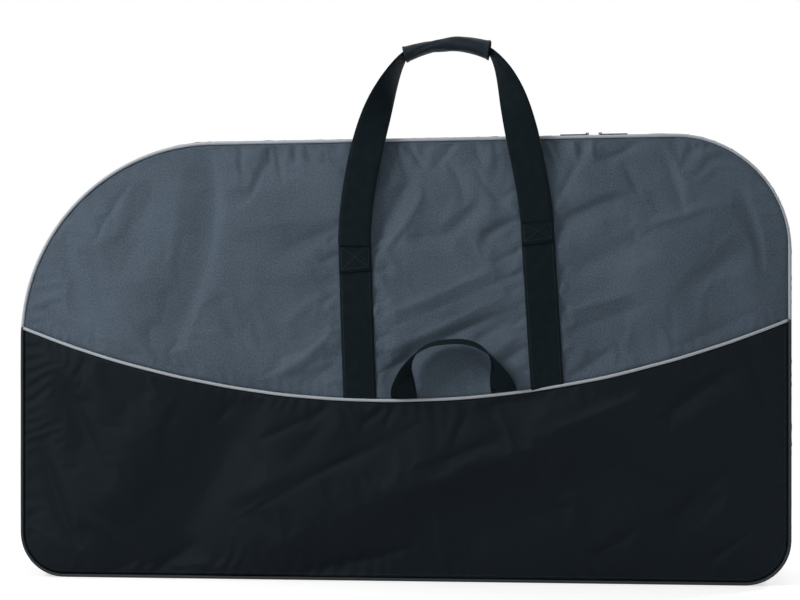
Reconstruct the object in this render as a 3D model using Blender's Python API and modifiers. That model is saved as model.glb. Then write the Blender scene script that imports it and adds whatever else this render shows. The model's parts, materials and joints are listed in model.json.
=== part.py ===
"""Soft travel bag for one bike, built from its separate sewn pieces.

Metres, +Z up. The bag stands on the plane z = 0, its length runs along X and its
front faces -Y. The origin is the middle of the bag's underside.
"""
import math

import bmesh
import bpy
from mathutils import Matrix, Vector

# The bag's body.
BAG_LENGTH = 1.20
BAG_DEPTH = 0.24
TOP_HEIGHT = 0.6864
TOP_RISE = 0.0100
RADIUS_TOP_LEFT = 0.31
RADIUS_TOP_RIGHT = 0.18
RADIUS_BOTTOM = 0.07
CROWN = 0.018
CROWN_REACH = 0.25

# The U-shaped colour seam of the front and the back.
SEAM_HEIGHT = 0.281
SEAM_RISE = 0.1195
SEAM_MIDDLE_X = -0.0175

# Sheet materials.
CLOTH = 0.0012
FOAM = 0.006
LINING = 0.001
LAYER_GAP = 0.0007
SEAT_GAP = 0.0003

# Piping.
PIPING_RADIUS = 0.0025
PIPING_INSET = 0.0030
PIPING_PROUD = 0.0015

# Side wall and zip.
FRONT_GUSSET_DEPTH = 0.0225
ZIP_TAPE_WIDTH = 0.0100
ZIP_OPENING = 0.0024
ZIP_TAPE = 0.0008
BASE_WRAP = 0.075
BASE_CLOTH = 0.0015
GUSSET_FOAM = 0.005
BOARD_THICKNESS = 0.003
BOARD_MARGIN = 0.020

# Zip sliders and pulls.
SLIDER_LENGTH = 0.016
SLIDER_WIDTH = 0.011
SLIDER_PLATE = 0.0014
SLIDER_BRIDGE = 0.0016
SLIDER_MEETING_X = 0.30
SLIDER_SPACING = 0.020
EYE_LENGTH = 0.0050
EYE_HEIGHT = 0.0045
EYE_WIDTH = 0.0030
PULL_LENGTH = 0.042
PULL_WIDTH = 0.009
PULL_THICKNESS = 0.0015
PULL_SLOT_LENGTH = 0.0085

# Carry handles.
WEBBING_WIDTH = 0.0508
WEBBING = 0.0024
STRAP_FOOT_LEFT_X = -0.059
STRAP_FOOT_RIGHT_X = 0.230
HINGE_LEFT_X = -0.067
HINGE_RIGHT_X = 0.2135
HINGE_LEFT_HEIGHT = 0.525
HINGE_RIGHT_HEIGHT = 0.561
REAR_HINGE_HEIGHT = 0.543
PATCH_HEIGHT_LEFT = 0.046
PATCH_HEIGHT_RIGHT = 0.039
PATCH_THICKNESS = 0.0020
SEWN_GAP = 0.0010
HANDLE_HEIGHT = 0.287
HANDLE_TWIST_START = 0.50
LEAN_LEFT = (0.85, 1.8)
LEAN_RIGHT = (0.75, 1.25)
LEAN_TOP_POWER = 9.0
GRIP_LENGTH = 0.1325
GRIP_DROP_LEFT = 0.0153
GRIP_DROP_RIGHT = 0.0092
GRIP_END_HEIGHT = 0.025
GRIP_WAIST_HEIGHT = 0.0155
GRIP_WALL = 0.0018
GRIP_WEBBING_WIDTH = 0.040
GRIP_CLEARANCE = 0.0012
GRIP_SQUARENESS = (0.6, 0.8)
REAR_HANG_ANGLE = math.radians(12.0)

# Grab handle on the front seam.
GRAB_WIDTH = 0.040
GRAB_WEBBING = 0.0020
GRAB_LEFT_X = 0.0092
GRAB_RIGHT_X = 0.1625
GRAB_HEIGHT = 0.083
GRAB_REACH = 0.030
GRAB_SEAT = 0.0034
GRAB_GAP = 0.0007
GRAB_SHOULDER = 0.9
GRAB_TWIST_START = 0.35
GRAB_REACH_START = 0.10

# Wheel pockets.
POCKET_LENGTH = 0.58
POCKET_HEIGHT = 0.40
POCKET_DEPTH = 0.026
POCKET_RADIUS = 0.16
POCKET_FLOOR = 0.075
POCKET_CENTRE_X = -0.20
POCKET_GAP = 0.0010

# Fineness of the mesh.
GRID = 0.100
ARC_STEPS_LARGE = 9
ARC_STEPS_SMALL = 5
STRAP_STEPS = 4
LEG_STEPS = 8
GRIP_STEPS = 6
GRIP_SIDES = 14
GRAB_STEPS = 14
BOARD_CORNER_STEPS = 3
SHARP_ANGLE = math.radians(35.0)

FRONT = -1
REAR = 1

TOP_SLOPE = math.atan(TOP_RISE)
HALF_LENGTH = BAG_LENGTH / 2
HALF_DEPTH = BAG_DEPTH / 2
PANEL_INSET = PIPING_INSET + PIPING_RADIUS + SEAT_GAP
STRIP_EDGE = HALF_DEPTH - PIPING_RADIUS - SEAT_GAP
FRONT_GUSSET_END = -STRIP_EDGE + FRONT_GUSSET_DEPTH
FRONT_TAPE_START = FRONT_GUSSET_END + SEAT_GAP
FRONT_TAPE_END = FRONT_TAPE_START + ZIP_TAPE_WIDTH
REAR_TAPE_START = FRONT_TAPE_END + ZIP_OPENING
REAR_TAPE_END = REAR_TAPE_START + ZIP_TAPE_WIDTH
GUSSET_START = REAR_TAPE_END + SEAT_GAP
ZIP_Y = FRONT_TAPE_END + ZIP_OPENING / 2
PADDING_OFFSET = CLOTH + LAYER_GAP
LINING_OFFSET = PADDING_OFFSET + FOAM + LAYER_GAP
INNER_FACE = LINING_OFFSET + LINING
GRIP_WIDTH = GRIP_WEBBING_WIDTH + 2 * (GRIP_WALL + GRIP_CLEARANCE)


def start_scene():
    """Remove what the scene holds and make the two collections."""
    for old in list(bpy.data.objects):
        bpy.data.objects.remove(old, do_unlink=True)
    parts = bpy.data.collections.new("bike_travel_bag")
    cutters = bpy.data.collections.new("cutters")
    bpy.context.scene.collection.children.link(parts)
    bpy.context.scene.collection.children.link(cutters)
    return parts, cutters


PARTS, CUTTERS = start_scene()


def make_material(name, colour, roughness, metallic=0.0):
    """Principled material with one colour, roughness and metallic value."""
    material = bpy.data.materials.new(name)
    material.use_nodes = True
    shader = material.node_tree.nodes["Principled BSDF"]
    shader.inputs["Base Color"].default_value = (*colour, 1.0)
    shader.inputs["Roughness"].default_value = roughness
    shader.inputs["Metallic"].default_value = metallic
    return material


GREY_CLOTH = make_material("grey_polyester", (0.085, 0.105, 0.130), 0.65)
BLACK_CLOTH = make_material("black_polyester", (0.010, 0.014, 0.018), 0.60)
WEBBING_BLACK = make_material("black_webbing", (0.008, 0.011, 0.013), 0.70)
PIPING_GREY = make_material("light_grey_piping", (0.45, 0.48, 0.52), 0.55)
PIPING_BLACK = make_material("black_piping", (0.012, 0.014, 0.016), 0.55)
FOAM_GREY = make_material("grey_foam", (0.20, 0.20, 0.21), 0.95)
LINING_BLACK = make_material("black_lining", (0.020, 0.020, 0.022), 0.75)
BOARD_BLACK = make_material("black_hdpe", (0.015, 0.015, 0.016), 0.45)
ZIP_BLACK = make_material("black_zip_tape", (0.010, 0.010, 0.011), 0.65)
SLIDER_METAL = make_material("painted_zinc", (0.030, 0.030, 0.032), 0.35, 0.6)


def put_in(collection, name, data):
    """New object from a mesh or a curve, linked to a collection."""
    thing = bpy.data.objects.new(name, data)
    collection.objects.link(thing)
    return thing


def add_part(name, data, material, parent=None):
    """New part with its material, kept where it is modelled under its parent."""
    data.materials.clear()
    data.materials.append(material)
    if isinstance(data, bpy.types.Mesh):
        data.shade_smooth()
        data.set_sharp_from_angle(angle=SHARP_ANGLE)
    part = put_in(PARTS, name, data)
    if parent is not None:
        part.parent = parent
        part.matrix_parent_inverse = parent.matrix_world.inverted()
    return part


def add_pivot(name, place, direction=(1.0, 0.0, 0.0), parent=None):
    """Empty on a joint's axis, its X axis along the joint."""
    pivot = put_in(PARTS, name, None)
    pivot.empty_display_size = 0.05
    turn = Vector((1.0, 0.0, 0.0)).rotation_difference(Vector(direction).normalized())
    world = Matrix.Translation(place) @ turn.to_matrix().to_4x4()
    if parent is not None:
        pivot.parent = parent
        pivot.matrix_parent_inverse = parent.matrix_world.inverted()
    pivot.matrix_basis = world
    bpy.context.view_layer.update()
    return pivot


def solidify(part, thickness, offset):
    """Give an open surface its wall."""
    wall = part.modifiers.new("wall", "SOLIDIFY")
    wall.thickness = thickness
    wall.offset = offset
    wall.use_even_offset = True
    return wall


def mesh_from(bm, name):
    """Turn a bmesh into mesh data and free it."""
    mesh = bpy.data.meshes.new(name)
    bm.to_mesh(mesh)
    bm.free()
    return mesh


# The bag's outline.

def top_line(x):
    """Height of the top edge, which rises a little to the right."""
    return TOP_HEIGHT + TOP_RISE * x


def corner_points(corner, arriving, leaving, radius, steps):
    """Points of the round that replaces a corner between two straight sides."""
    corner = Vector(corner)
    arriving = Vector(arriving).normalized()
    leaving = Vector(leaving).normalized()
    turn = arriving.angle(leaving)
    reach = radius * math.tan(turn / 2)
    start = corner - arriving * reach
    inward = (leaving - arriving).normalized()
    centre = corner + inward * radius / math.cos(turn / 2)
    spoke = start - centre
    sign = 1.0 if arriving.x * leaving.y - arriving.y * leaving.x > 0 else -1.0
    points = []
    for step in range(steps + 1):
        angle = sign * turn * step / steps
        points.append((centre.x + spoke.x * math.cos(angle) - spoke.y * math.sin(angle),
                       centre.y + spoke.x * math.sin(angle) + spoke.y * math.cos(angle)))
    return points


def outline_loop(inset):
    """Outline drawn in by the inset, from the bottom up the left end and down the right."""
    left = -HALF_LENGTH + inset
    right = HALF_LENGTH - inset
    drop = inset / math.cos(TOP_SLOPE)
    along_top = (1.0, TOP_RISE)
    loop = corner_points((left, inset), (-1.0, 0.0), (0.0, 1.0), RADIUS_BOTTOM - inset,
                         ARC_STEPS_SMALL)
    loop += corner_points((left, top_line(left) - drop), (0.0, 1.0), along_top,
                          RADIUS_TOP_LEFT - inset, ARC_STEPS_LARGE)
    loop += corner_points((right, top_line(right) - drop), along_top, (0.0, -1.0),
                          RADIUS_TOP_RIGHT - inset, ARC_STEPS_LARGE)
    loop += corner_points((right, inset), (0.0, -1.0), (-1.0, 0.0), RADIUS_BOTTOM - inset,
                          ARC_STEPS_SMALL)
    return loop


def crossing(low, high, height):
    """Point at a height on the straight line between two points."""
    share = (height - low[1]) / (high[1] - low[1])
    return (low[0] + (high[0] - low[0]) * share, height)


def split_loop(inset, left_height, right_height):
    """The outline's upper and lower stretch, both from the left end to the right."""
    loop = outline_loop(inset)

    def over(point):
        """Height of a point over the level where its end is split."""
        return point[1] - (left_height if point[0] < 0.0 else right_height)

    inside = [index for index, point in enumerate(loop) if over(point) > SEAT_GAP]
    first = inside[0]
    last = inside[-1]
    left = crossing(loop[first - 1], loop[first], left_height)
    right = crossing(loop[last + 1], loop[last], right_height)
    below_left = [point for point in loop[:first] if over(point) < -SEAT_GAP]
    below_right = [point for point in loop[last + 1:] if over(point) < -SEAT_GAP]
    upper = [left] + loop[first:last + 1] + [right]
    lower = [left] + below_left[::-1] + below_right[::-1] + [right]
    return upper, lower


def upper_path(inset, left_height, right_height):
    """Left end, top and right end of the outline, drawn in by the inset."""
    return split_loop(inset, left_height, right_height)[0]


def lower_path(inset, left_height, right_height):
    """Left end, bottom and right end of the outline, drawn in by the inset."""
    return split_loop(inset, left_height, right_height)[1]


def seam_height(x):
    """Height of the colour seam, a parabola that is lowest in the middle."""
    return SEAM_HEIGHT + SEAM_RISE * ((x - SEAM_MIDDLE_X) / HALF_LENGTH) ** 2


def grid_lines(low, high):
    """Evenly spaced values that leave no step wider than the grid."""
    count = max(1, round((high - low) / GRID))
    return [low + (high - low) * step / count for step in range(count + 1)]


def seam_points(inset):
    """Points along the colour seam between the two ends of a panel."""
    path = upper_path(inset, seam_height(inset - HALF_LENGTH), seam_height(HALF_LENGTH - inset))
    inner = grid_lines(-HALF_LENGTH, HALF_LENGTH)[1:-1]
    return [(x, seam_height(x)) for x in [path[0][0]] + inner + [path[-1][0]]]


def beside_seam(inset, side):
    """Edge of a panel along the seam, clear of the piping above it or below it."""
    edge = []
    for x, z in seam_points(inset):
        slope = 2.0 * SEAM_RISE * (x - SEAM_MIDDLE_X) / HALF_LENGTH ** 2
        clear = (PIPING_RADIUS + LAYER_GAP) * math.hypot(1.0, slope)
        edge.append((x, z + side * clear))
    return edge


def edge_distance(x, z):
    """How far a point of a panel lies inside the outline."""
    slope = math.cos(TOP_SLOPE)
    left = x + HALF_LENGTH
    right = HALF_LENGTH - x
    top = (top_line(x) - z) * slope
    for side, height, radius in ((left, top, RADIUS_TOP_LEFT), (right, top, RADIUS_TOP_RIGHT),
                                 (left, z, RADIUS_BOTTOM), (right, z, RADIUS_BOTTOM)):
        if side < radius and height < radius:
            return max(0.0, radius - math.hypot(radius - side, radius - height))
    return max(0.0, min(left, right, top, z))


def crown(x, z):
    """How far the stuffed panel stands out there, from nothing at its edge."""
    share = min(1.0, edge_distance(x, z) / CROWN_REACH)
    return CROWN * (1.0 - (1.0 - share) ** 2)


def face_y(x, z, side):
    """Y of a panel's outer face."""
    return side * (HALF_DEPTH + crown(x, z))


# Panels and their layers.

def cut_by_grid(bm):
    """Cut a mesh along the grid that every layer of the front and the back shares."""
    planes = [((x, 0.0, 0.0), (1.0, 0.0, 0.0))
              for x in grid_lines(-HALF_LENGTH, HALF_LENGTH)[1:-1]]
    planes += [((0.0, 0.0, z), (0.0, 0.0, 1.0)) for z in grid_lines(0.0, TOP_HEIGHT)[1:-1]]
    for place, direction in planes:
        bmesh.ops.bisect_plane(bm, geom=bm.verts[:] + bm.edges[:] + bm.faces[:], dist=1e-6,
                               plane_co=place, plane_no=direction)


def crowned_sheet(name, border, side, depth):
    """Flat face inside a border, cut into a grid and pressed out to the crown."""
    bm = bmesh.new()
    bm.faces.new([bm.verts.new((x, 0.0, z)) for x, z in border])
    cut_by_grid(bm)
    bmesh.ops.poke(bm, faces=bm.faces[:])
    for vertex in bm.verts:
        vertex.co.y = face_y(vertex.co.x, vertex.co.z, side) - side * depth
    bm.normal_update()
    if sum(face.normal.y for face in bm.faces) * side < 0:
        bmesh.ops.reverse_faces(bm, faces=bm.faces[:])
    return mesh_from(bm, name)


def make_layer(name, border, side, depth, thickness, material, parent):
    """One sheet of a padded wall, at its depth behind the outer face."""
    mesh = crowned_sheet(name, border, side, depth)
    layer = add_part(name, mesh, material, parent)
    solidify(layer, thickness, -1.0)
    return layer


def upper_border(inset):
    """Border of the grey part: round the top, then back along the seam."""
    seam = beside_seam(inset, 1)
    return upper_path(inset, seam[0][1], seam[-1][1]) + seam[::-1][1:-1]


def lower_border(inset):
    """Border of the black part: round the bottom, then back along the seam."""
    seam = beside_seam(inset, -1)
    return lower_path(inset, seam[0][1], seam[-1][1]) + seam[::-1][1:-1]


def make_piping(name, path, material, parent):
    """Cord in a cloth cover, as a bevelled line."""
    curve = bpy.data.curves.new(name, "CURVE")
    curve.dimensions = "3D"
    curve.bevel_depth = PIPING_RADIUS
    curve.bevel_resolution = 1
    curve.use_fill_caps = True
    line = curve.splines.new("POLY")
    line.points.add(len(path) - 1)
    for point, place in zip(line.points, path):
        point.co = (*place, 1.0)
    return add_part(name, curve, material, parent)


def make_wall(prefix, side, parent):
    """Front or back of the bag: two outer panels, three pipings, foam and lining."""
    left_end = seam_height(PIPING_INSET - HALF_LENGTH)
    right_end = seam_height(HALF_LENGTH - PIPING_INSET)
    make_layer(prefix + "_upper_panel", upper_border(PANEL_INSET), side, 0.0, CLOTH,
               GREY_CLOTH, parent)
    make_layer(prefix + "_lower_panel", lower_border(PANEL_INSET), side, 0.0, CLOTH,
               BLACK_CLOTH, parent)
    make_layer(prefix + "_padding", outline_loop(PANEL_INSET), side, PADDING_OFFSET, FOAM,
               FOAM_GREY, parent)
    make_layer(prefix + "_lining", outline_loop(PANEL_INSET), side, LINING_OFFSET, LINING,
               LINING_BLACK, parent)
    seam = [(x, face_y(x, z, side) + side * PIPING_PROUD, z)
            for x, z in seam_points(PANEL_INSET + SEAT_GAP)]
    make_piping(prefix + "_seam_piping", seam, PIPING_GREY, parent)
    edge = [(x, side * HALF_DEPTH, z)
            for x, z in upper_path(PIPING_INSET, left_end + SEAT_GAP, right_end + SEAT_GAP)]
    make_piping(prefix + "_edge_piping", edge, PIPING_GREY, parent)
    hem = [(x, side * HALF_DEPTH, z)
           for x, z in lower_path(PIPING_INSET, left_end - SEAT_GAP, right_end - SEAT_GAP)]
    make_piping(prefix + "_hem_piping", hem, PIPING_BLACK, parent)


# Side wall, zip and base.

def make_strip(name, path, y_start, y_end, thickness, material, parent):
    """Strip of cloth that follows the outline, with its wall turned inwards."""
    bm = bmesh.new()
    row = [bm.verts.new((x, y_start, z)) for x, z in path]
    chain = [bm.edges.new(pair) for pair in zip(row, row[1:])]
    grown = bmesh.ops.extrude_edge_only(bm, edges=chain)["geom"]
    new_verts = [item for item in grown if isinstance(item, bmesh.types.BMVert)]
    bmesh.ops.translate(bm, verts=new_verts, vec=(0.0, y_end - y_start, 0.0))
    bm.normal_update()
    middle = Vector((0.0, 0.0, TOP_HEIGHT / 2))
    outward = sum(face.normal.dot(face.calc_center_median() - middle) for face in bm.faces)
    if outward < 0:
        bmesh.ops.reverse_faces(bm, faces=bm.faces[:])
    strip = add_part(name, mesh_from(bm, name), material, parent)
    solidify(strip, thickness, -1.0)
    return strip


def make_side_wall(door):
    """Gusset round the ends and the top, with the zip behind its front edge."""
    bottom = BASE_WRAP + SEAT_GAP
    outer = upper_path(0.0, bottom, bottom)
    tape = upper_path(SEAT_GAP, bottom, bottom)
    make_strip("front_gusset", outer, -STRIP_EDGE, FRONT_GUSSET_END, CLOTH, GREY_CLOTH, door)
    make_strip("front_zip_tape", tape, FRONT_TAPE_START, FRONT_TAPE_END, ZIP_TAPE, ZIP_BLACK,
               door)
    make_strip("rear_zip_tape", tape, REAR_TAPE_START, REAR_TAPE_END, ZIP_TAPE, ZIP_BLACK, None)
    make_strip("gusset", outer, GUSSET_START, STRIP_EDGE, CLOTH, GREY_CLOTH, None)
    padding_inset = CLOTH + LAYER_GAP
    lining_inset = padding_inset + GUSSET_FOAM + LAYER_GAP
    inner_end = HALF_DEPTH - INNER_FACE - LAYER_GAP
    make_strip("gusset_padding", upper_path(padding_inset, bottom, bottom), GUSSET_START,
               inner_end, GUSSET_FOAM, FOAM_GREY, None)
    make_strip("gusset_lining", upper_path(lining_inset, bottom, bottom), GUSSET_START,
               inner_end, LINING, LINING_BLACK, None)
    make_strip("base_panel", lower_path(0.0, BASE_WRAP, BASE_WRAP), -STRIP_EDGE, STRIP_EDGE,
               BASE_CLOTH, BLACK_CLOTH, None)


def box_mesh(name, low, high, frame):
    """Box between two corners in a frame, as mesh data."""
    bm = bmesh.new()
    bmesh.ops.create_cube(bm, size=1.0)
    size = Vector(high) - Vector(low)
    centre = (Vector(high) + Vector(low)) / 2
    place = frame @ Matrix.Translation(centre) @ Matrix.Diagonal((*size, 1.0))
    bmesh.ops.transform(bm, matrix=place, verts=bm.verts)
    return mesh_from(bm, name)


def make_base_board():
    """Stiff board that lies on the base panel, with rounded corners."""
    reach_x = HALF_LENGTH - RADIUS_BOTTOM - BOARD_MARGIN / 2
    reach_y = HALF_DEPTH - BOARD_MARGIN
    low_z = BASE_CLOTH + LAYER_GAP
    mesh = box_mesh("base_board", (-reach_x, -reach_y, low_z),
                    (reach_x, reach_y, low_z + BOARD_THICKNESS), Matrix.Identity(4))
    board = add_part("base_board", mesh, BOARD_BLACK)
    corners = board.modifiers.new("rounded_corners", "BEVEL")
    corners.width = BOARD_MARGIN
    corners.segments = BOARD_CORNER_STEPS
    corners.affect = "EDGES"
    corners.limit_method = "WEIGHT"
    weights = mesh.attributes.new("bevel_weight_edge", "FLOAT", "EDGE")
    for edge in mesh.edges:
        ends = [mesh.vertices[index].co for index in edge.vertices]
        upright = abs(ends[0].z - ends[1].z) > BOARD_THICKNESS / 2
        weights.data[edge.index].value = 1.0 if upright else 0.0


# Webbing.

def make_ribbon(name, places, widths, directions, thickness, material, parent):
    """Strip of webbing through its centre places, each with a width and a direction across."""
    bm = bmesh.new()
    rows = []
    for place, width, across in zip(places, widths, directions):
        reach = Vector(across).normalized() * width / 2
        rows.append((bm.verts.new(Vector(place) - reach), bm.verts.new(Vector(place) + reach)))
    for low, high in zip(rows, rows[1:]):
        bm.faces.new((low[0], low[1], high[1], high[0]))
    ribbon = add_part(name, mesh_from(bm, name), material, parent)
    solidify(ribbon, thickness, 0.0)
    return ribbon


class CarryHandle:
    """Places of one carry handle: two straps, two patches and the free loop."""

    def __init__(self, prefix, side):
        self.prefix = prefix
        self.side = side
        strap_lift = SEWN_GAP + WEBBING / 2
        patch_lift = strap_lift + WEBBING / 2 + SEAT_GAP
        self.strap_lift = strap_lift
        self.patch_middle = patch_lift + PATCH_THICKNESS / 2
        self.axis_lift = patch_lift + PATCH_THICKNESS + SEAT_GAP + WEBBING / 2
        left_height = HINGE_LEFT_HEIGHT if side == FRONT else REAR_HINGE_HEIGHT
        right_height = HINGE_RIGHT_HEIGHT if side == FRONT else REAR_HINGE_HEIGHT
        self.left = self.hinge_place(HINGE_LEFT_X, left_height)
        self.right = self.hinge_place(HINGE_RIGHT_X, right_height)
        self.along = (self.right - self.left).normalized()

    def hinge_place(self, x, z):
        """Point of the hinge line in front of the patch."""
        return Vector((x, face_y(x, z, self.side) + self.side * self.axis_lift, z))

    def on_panel(self, x, z, lift):
        """Point at a height above the panel's outer face."""
        return Vector((x, face_y(x, z, self.side) + self.side * lift, z))

    def make_strap(self, name, foot_x, hinge, parent):
        """Webbing sewn to the panel from the colour seam to the hinge line."""
        foot_z = seam_height(foot_x) + PIPING_RADIUS + LAYER_GAP
        end_z = hinge.z - SEAT_GAP
        foot_rise = (seam_height(foot_x + 0.01) - seam_height(foot_x - 0.01)) / 0.02
        places = []
        across = []
        clear = abs(foot_rise) * WEBBING_WIDTH / 2
        for step in range(STRAP_STEPS + 1):
            share = step / STRAP_STEPS
            x = foot_x + (hinge.x - foot_x) * share
            z = foot_z + clear + (end_z - foot_z - clear) * share
            places.append(self.on_panel(x, z, self.strap_lift))
            start = Vector((1.0, 0.0, foot_rise))
            end = Vector((self.along.x, 0.0, self.along.z))
            across.append(start.lerp(end, share))
        return make_ribbon(name, places, [WEBBING_WIDTH] * len(places), across, WEBBING,
                           WEBBING_BLACK, parent)

    def make_patch(self, name, foot_x, hinge, height, parent):
        """Second layer of webbing over the strap's top, held by the box stitch."""
        end_z = hinge.z - SEAT_GAP
        lean = (hinge.x - foot_x) / (hinge.z - seam_height(foot_x))
        places = []
        for drop in (height, height / 2, 0.0):
            places.append(self.on_panel(hinge.x - lean * drop, end_z - drop, self.patch_middle))
        return make_ribbon(name, places, [WEBBING_WIDTH] * len(places),
                           [self.along] * len(places), PATCH_THICKNESS, WEBBING_BLACK, parent)

    def leg(self, foot, end, lean):
        """One leg of the loop: it leans in towards the grip and twists edge-on."""
        weight, power = lean
        points = []
        widths = []
        twists = []
        for step in range(LEG_STEPS + 1):
            share = step / LEG_STEPS
            inward = weight * share ** power + (1.0 - weight) * share ** LEAN_TOP_POWER
            point = foot.lerp(end, share)
            point.x = foot.x + (end.x - foot.x) * inward
            twist = max(0.0, (share - HANDLE_TWIST_START) / (1.0 - HANDLE_TWIST_START))
            points.append(point)
            widths.append(WEBBING_WIDTH + (GRIP_WEBBING_WIDTH - WEBBING_WIDTH) * twist)
            twists.append(twist * math.pi / 2)
        return points, widths, twists

    def loop(self):
        """Centre line, widths and directions across of the loop while it stands up."""
        start_lift = Vector((0.0, 0.0, SEAT_GAP))
        top = (self.left + self.right) / 2 + Vector((0.0, 0.0, HANDLE_HEIGHT))
        left_end = top + Vector((-GRIP_LENGTH / 2, 0.0, -GRIP_DROP_LEFT))
        right_end = top + Vector((GRIP_LENGTH / 2, 0.0, -GRIP_DROP_RIGHT))
        points, widths, twists = self.leg(self.left + start_lift, left_end, LEAN_LEFT)
        middle_drop = (GRIP_DROP_LEFT + GRIP_DROP_RIGHT) / 2
        for step in range(1, GRIP_STEPS):
            share = step / GRIP_STEPS
            bow = 1.0 - (2.0 * share - 1.0) ** 2
            chord = left_end.lerp(right_end, share)
            points.append(chord + Vector((0.0, 0.0, middle_drop * bow)))
            widths.append(GRIP_WEBBING_WIDTH)
            twists.append(math.pi / 2)
        right_leg = self.leg(self.right + start_lift, right_end, LEAN_RIGHT)
        points += right_leg[0][::-1]
        widths += right_leg[1][::-1]
        twists += [math.pi - twist for twist in right_leg[2][::-1]]
        depth = Vector((0.0, 1.0, 0.0))
        across = [self.along * math.cos(twist) + depth * math.sin(twist) for twist in twists]
        return points, widths, across

    def swing(self, points, directions, angle):
        """Turn a standing loop about the hinge line, out from the panel and down."""
        turn = Matrix.Rotation(angle, 4, self.along)
        middle = (self.left + self.right) / 2
        move = Matrix.Translation(middle) @ turn @ Matrix.Translation(-middle)
        return [move @ point for point in points], [turn @ item for item in directions]


def smooth(value, low, high):
    """Share from 0 to 1 that starts and ends gently."""
    share = min(1.0, max(0.0, (value - low) / (high - low)))
    return share * share * (3.0 - 2.0 * share)


def make_grip(name, points, parent):
    """Cloth wrap round the top of the loop: a flat sleeve with flared ends and a waist."""
    bm = bmesh.new()
    rings = []
    start = points[0]
    end = points[-1]
    axis = (end - start).normalized()
    tilt = (points[len(points) // 2] - (start + end) / 2).normalized()
    depth = axis.cross(tilt).normalized()
    for index, point in enumerate(points):
        share = abs(2.0 * index / (len(points) - 1) - 1.0)
        height = GRIP_WAIST_HEIGHT + (GRIP_END_HEIGHT - GRIP_WAIST_HEIGHT) * share ** 2
        before = points[max(0, index - 1)]
        after = points[min(len(points) - 1, index + 1)]
        along = (after - before).normalized()
        up = depth.cross(along).normalized()
        ring = []
        for side in range(GRIP_SIDES):
            angle = 2.0 * math.pi * side / GRIP_SIDES
            flat = math.copysign(abs(math.cos(angle)) ** GRIP_SQUARENESS[0], math.cos(angle))
            tall = math.copysign(abs(math.sin(angle)) ** GRIP_SQUARENESS[1], math.sin(angle))
            place = point + depth * flat * GRIP_WIDTH / 2 + up * tall * height / 2
            ring.append(bm.verts.new(place))
        rings.append(ring)
    for low, high in zip(rings, rings[1:]):
        for side in range(GRIP_SIDES):
            after = (side + 1) % GRIP_SIDES
            bm.faces.new((low[side], low[after], high[after], high[side]))
    bmesh.ops.recalc_face_normals(bm, faces=bm.faces[:])
    grip = add_part(name, mesh_from(bm, name), WEBBING_BLACK, parent)
    solidify(grip, GRIP_WALL, -1.0)
    return grip


def make_carry_handle(prefix, side, wall_parent):
    """Straps and patches on a wall, and the loop with its grip on the hinge line."""
    handle = CarryHandle(prefix, side)
    handle.make_strap(prefix + "_strap_left", STRAP_FOOT_LEFT_X, handle.left, wall_parent)
    handle.make_strap(prefix + "_strap_right", STRAP_FOOT_RIGHT_X, handle.right, wall_parent)
    handle.make_patch(prefix + "_stitch_patch_left", STRAP_FOOT_LEFT_X, handle.left,
                      PATCH_HEIGHT_LEFT, wall_parent)
    handle.make_patch(prefix + "_stitch_patch_right", STRAP_FOOT_RIGHT_X, handle.right,
                      PATCH_HEIGHT_RIGHT, wall_parent)
    points, widths, directions = handle.loop()
    if side == REAR:
        points, directions = handle.swing(points, directions, -(math.pi - REAR_HANG_ANGLE))
    pivot = add_pivot(prefix + "_handle_pivot", (handle.left + handle.right) / 2, handle.along,
                      wall_parent)
    make_ribbon(prefix + "_handle", points, widths, directions, WEBBING, WEBBING_BLACK, pivot)
    first = next(index for index, width in enumerate(widths) if width <= GRIP_WEBBING_WIDTH)
    make_grip(prefix + "_grip", points[first:len(points) - first], pivot)
    return handle


def make_grab_handle(door):
    """Short loop of webbing that stands on the front colour seam."""
    lift = GRAB_GAP + GRAB_WEBBING / 2
    stand = PIPING_RADIUS + GRAB_SEAT
    left = Vector((GRAB_LEFT_X, 0.0, seam_height(GRAB_LEFT_X) + stand))
    right = Vector((GRAB_RIGHT_X, 0.0, seam_height(GRAB_RIGHT_X) + stand))
    for foot in (left, right):
        foot.y = face_y(foot.x, foot.z, FRONT) - lift
    along = (right - left).normalized()
    up = along.cross(Vector((0.0, -1.0, 0.0)))
    if up.z < 0:
        up = -up
    middle = (left + right) / 2
    half_span = (right - left).length / 2
    points = []
    directions = []
    for step in range(GRAB_STEPS + 1):
        angle = math.pi * step / GRAB_STEPS
        height = math.sin(angle)
        twist = smooth(height, GRAB_TWIST_START, 1.0) * math.pi / 2
        if step > GRAB_STEPS / 2:
            twist = math.pi - twist
        points.append(middle - along * half_span * math.cos(angle)
                      + up * (GRAB_HEIGHT * height ** GRAB_SHOULDER + SEAT_GAP)
                      + Vector((0.0, -GRAB_REACH * smooth(height, GRAB_REACH_START, 1.0), 0.0)))
        directions.append(along * math.cos(twist) + Vector((0.0, 1.0, 0.0)) * math.sin(twist))
    pivot = add_pivot("grab_handle_pivot", middle, along, door)
    make_ribbon("front_grab_handle", points, [GRAB_WIDTH] * len(points), directions,
                GRAB_WEBBING, WEBBING_BLACK, pivot)
    return middle, along


# Zip sliders.

def slider_frame(x):
    """Matrix that stands on the zip at x, its X axis up the slope of the top edge."""
    place = Vector((x, ZIP_Y, top_line(x)))
    return Matrix.Translation(place) @ Matrix.Rotation(-TOP_SLOPE, 4, "Y")


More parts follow.
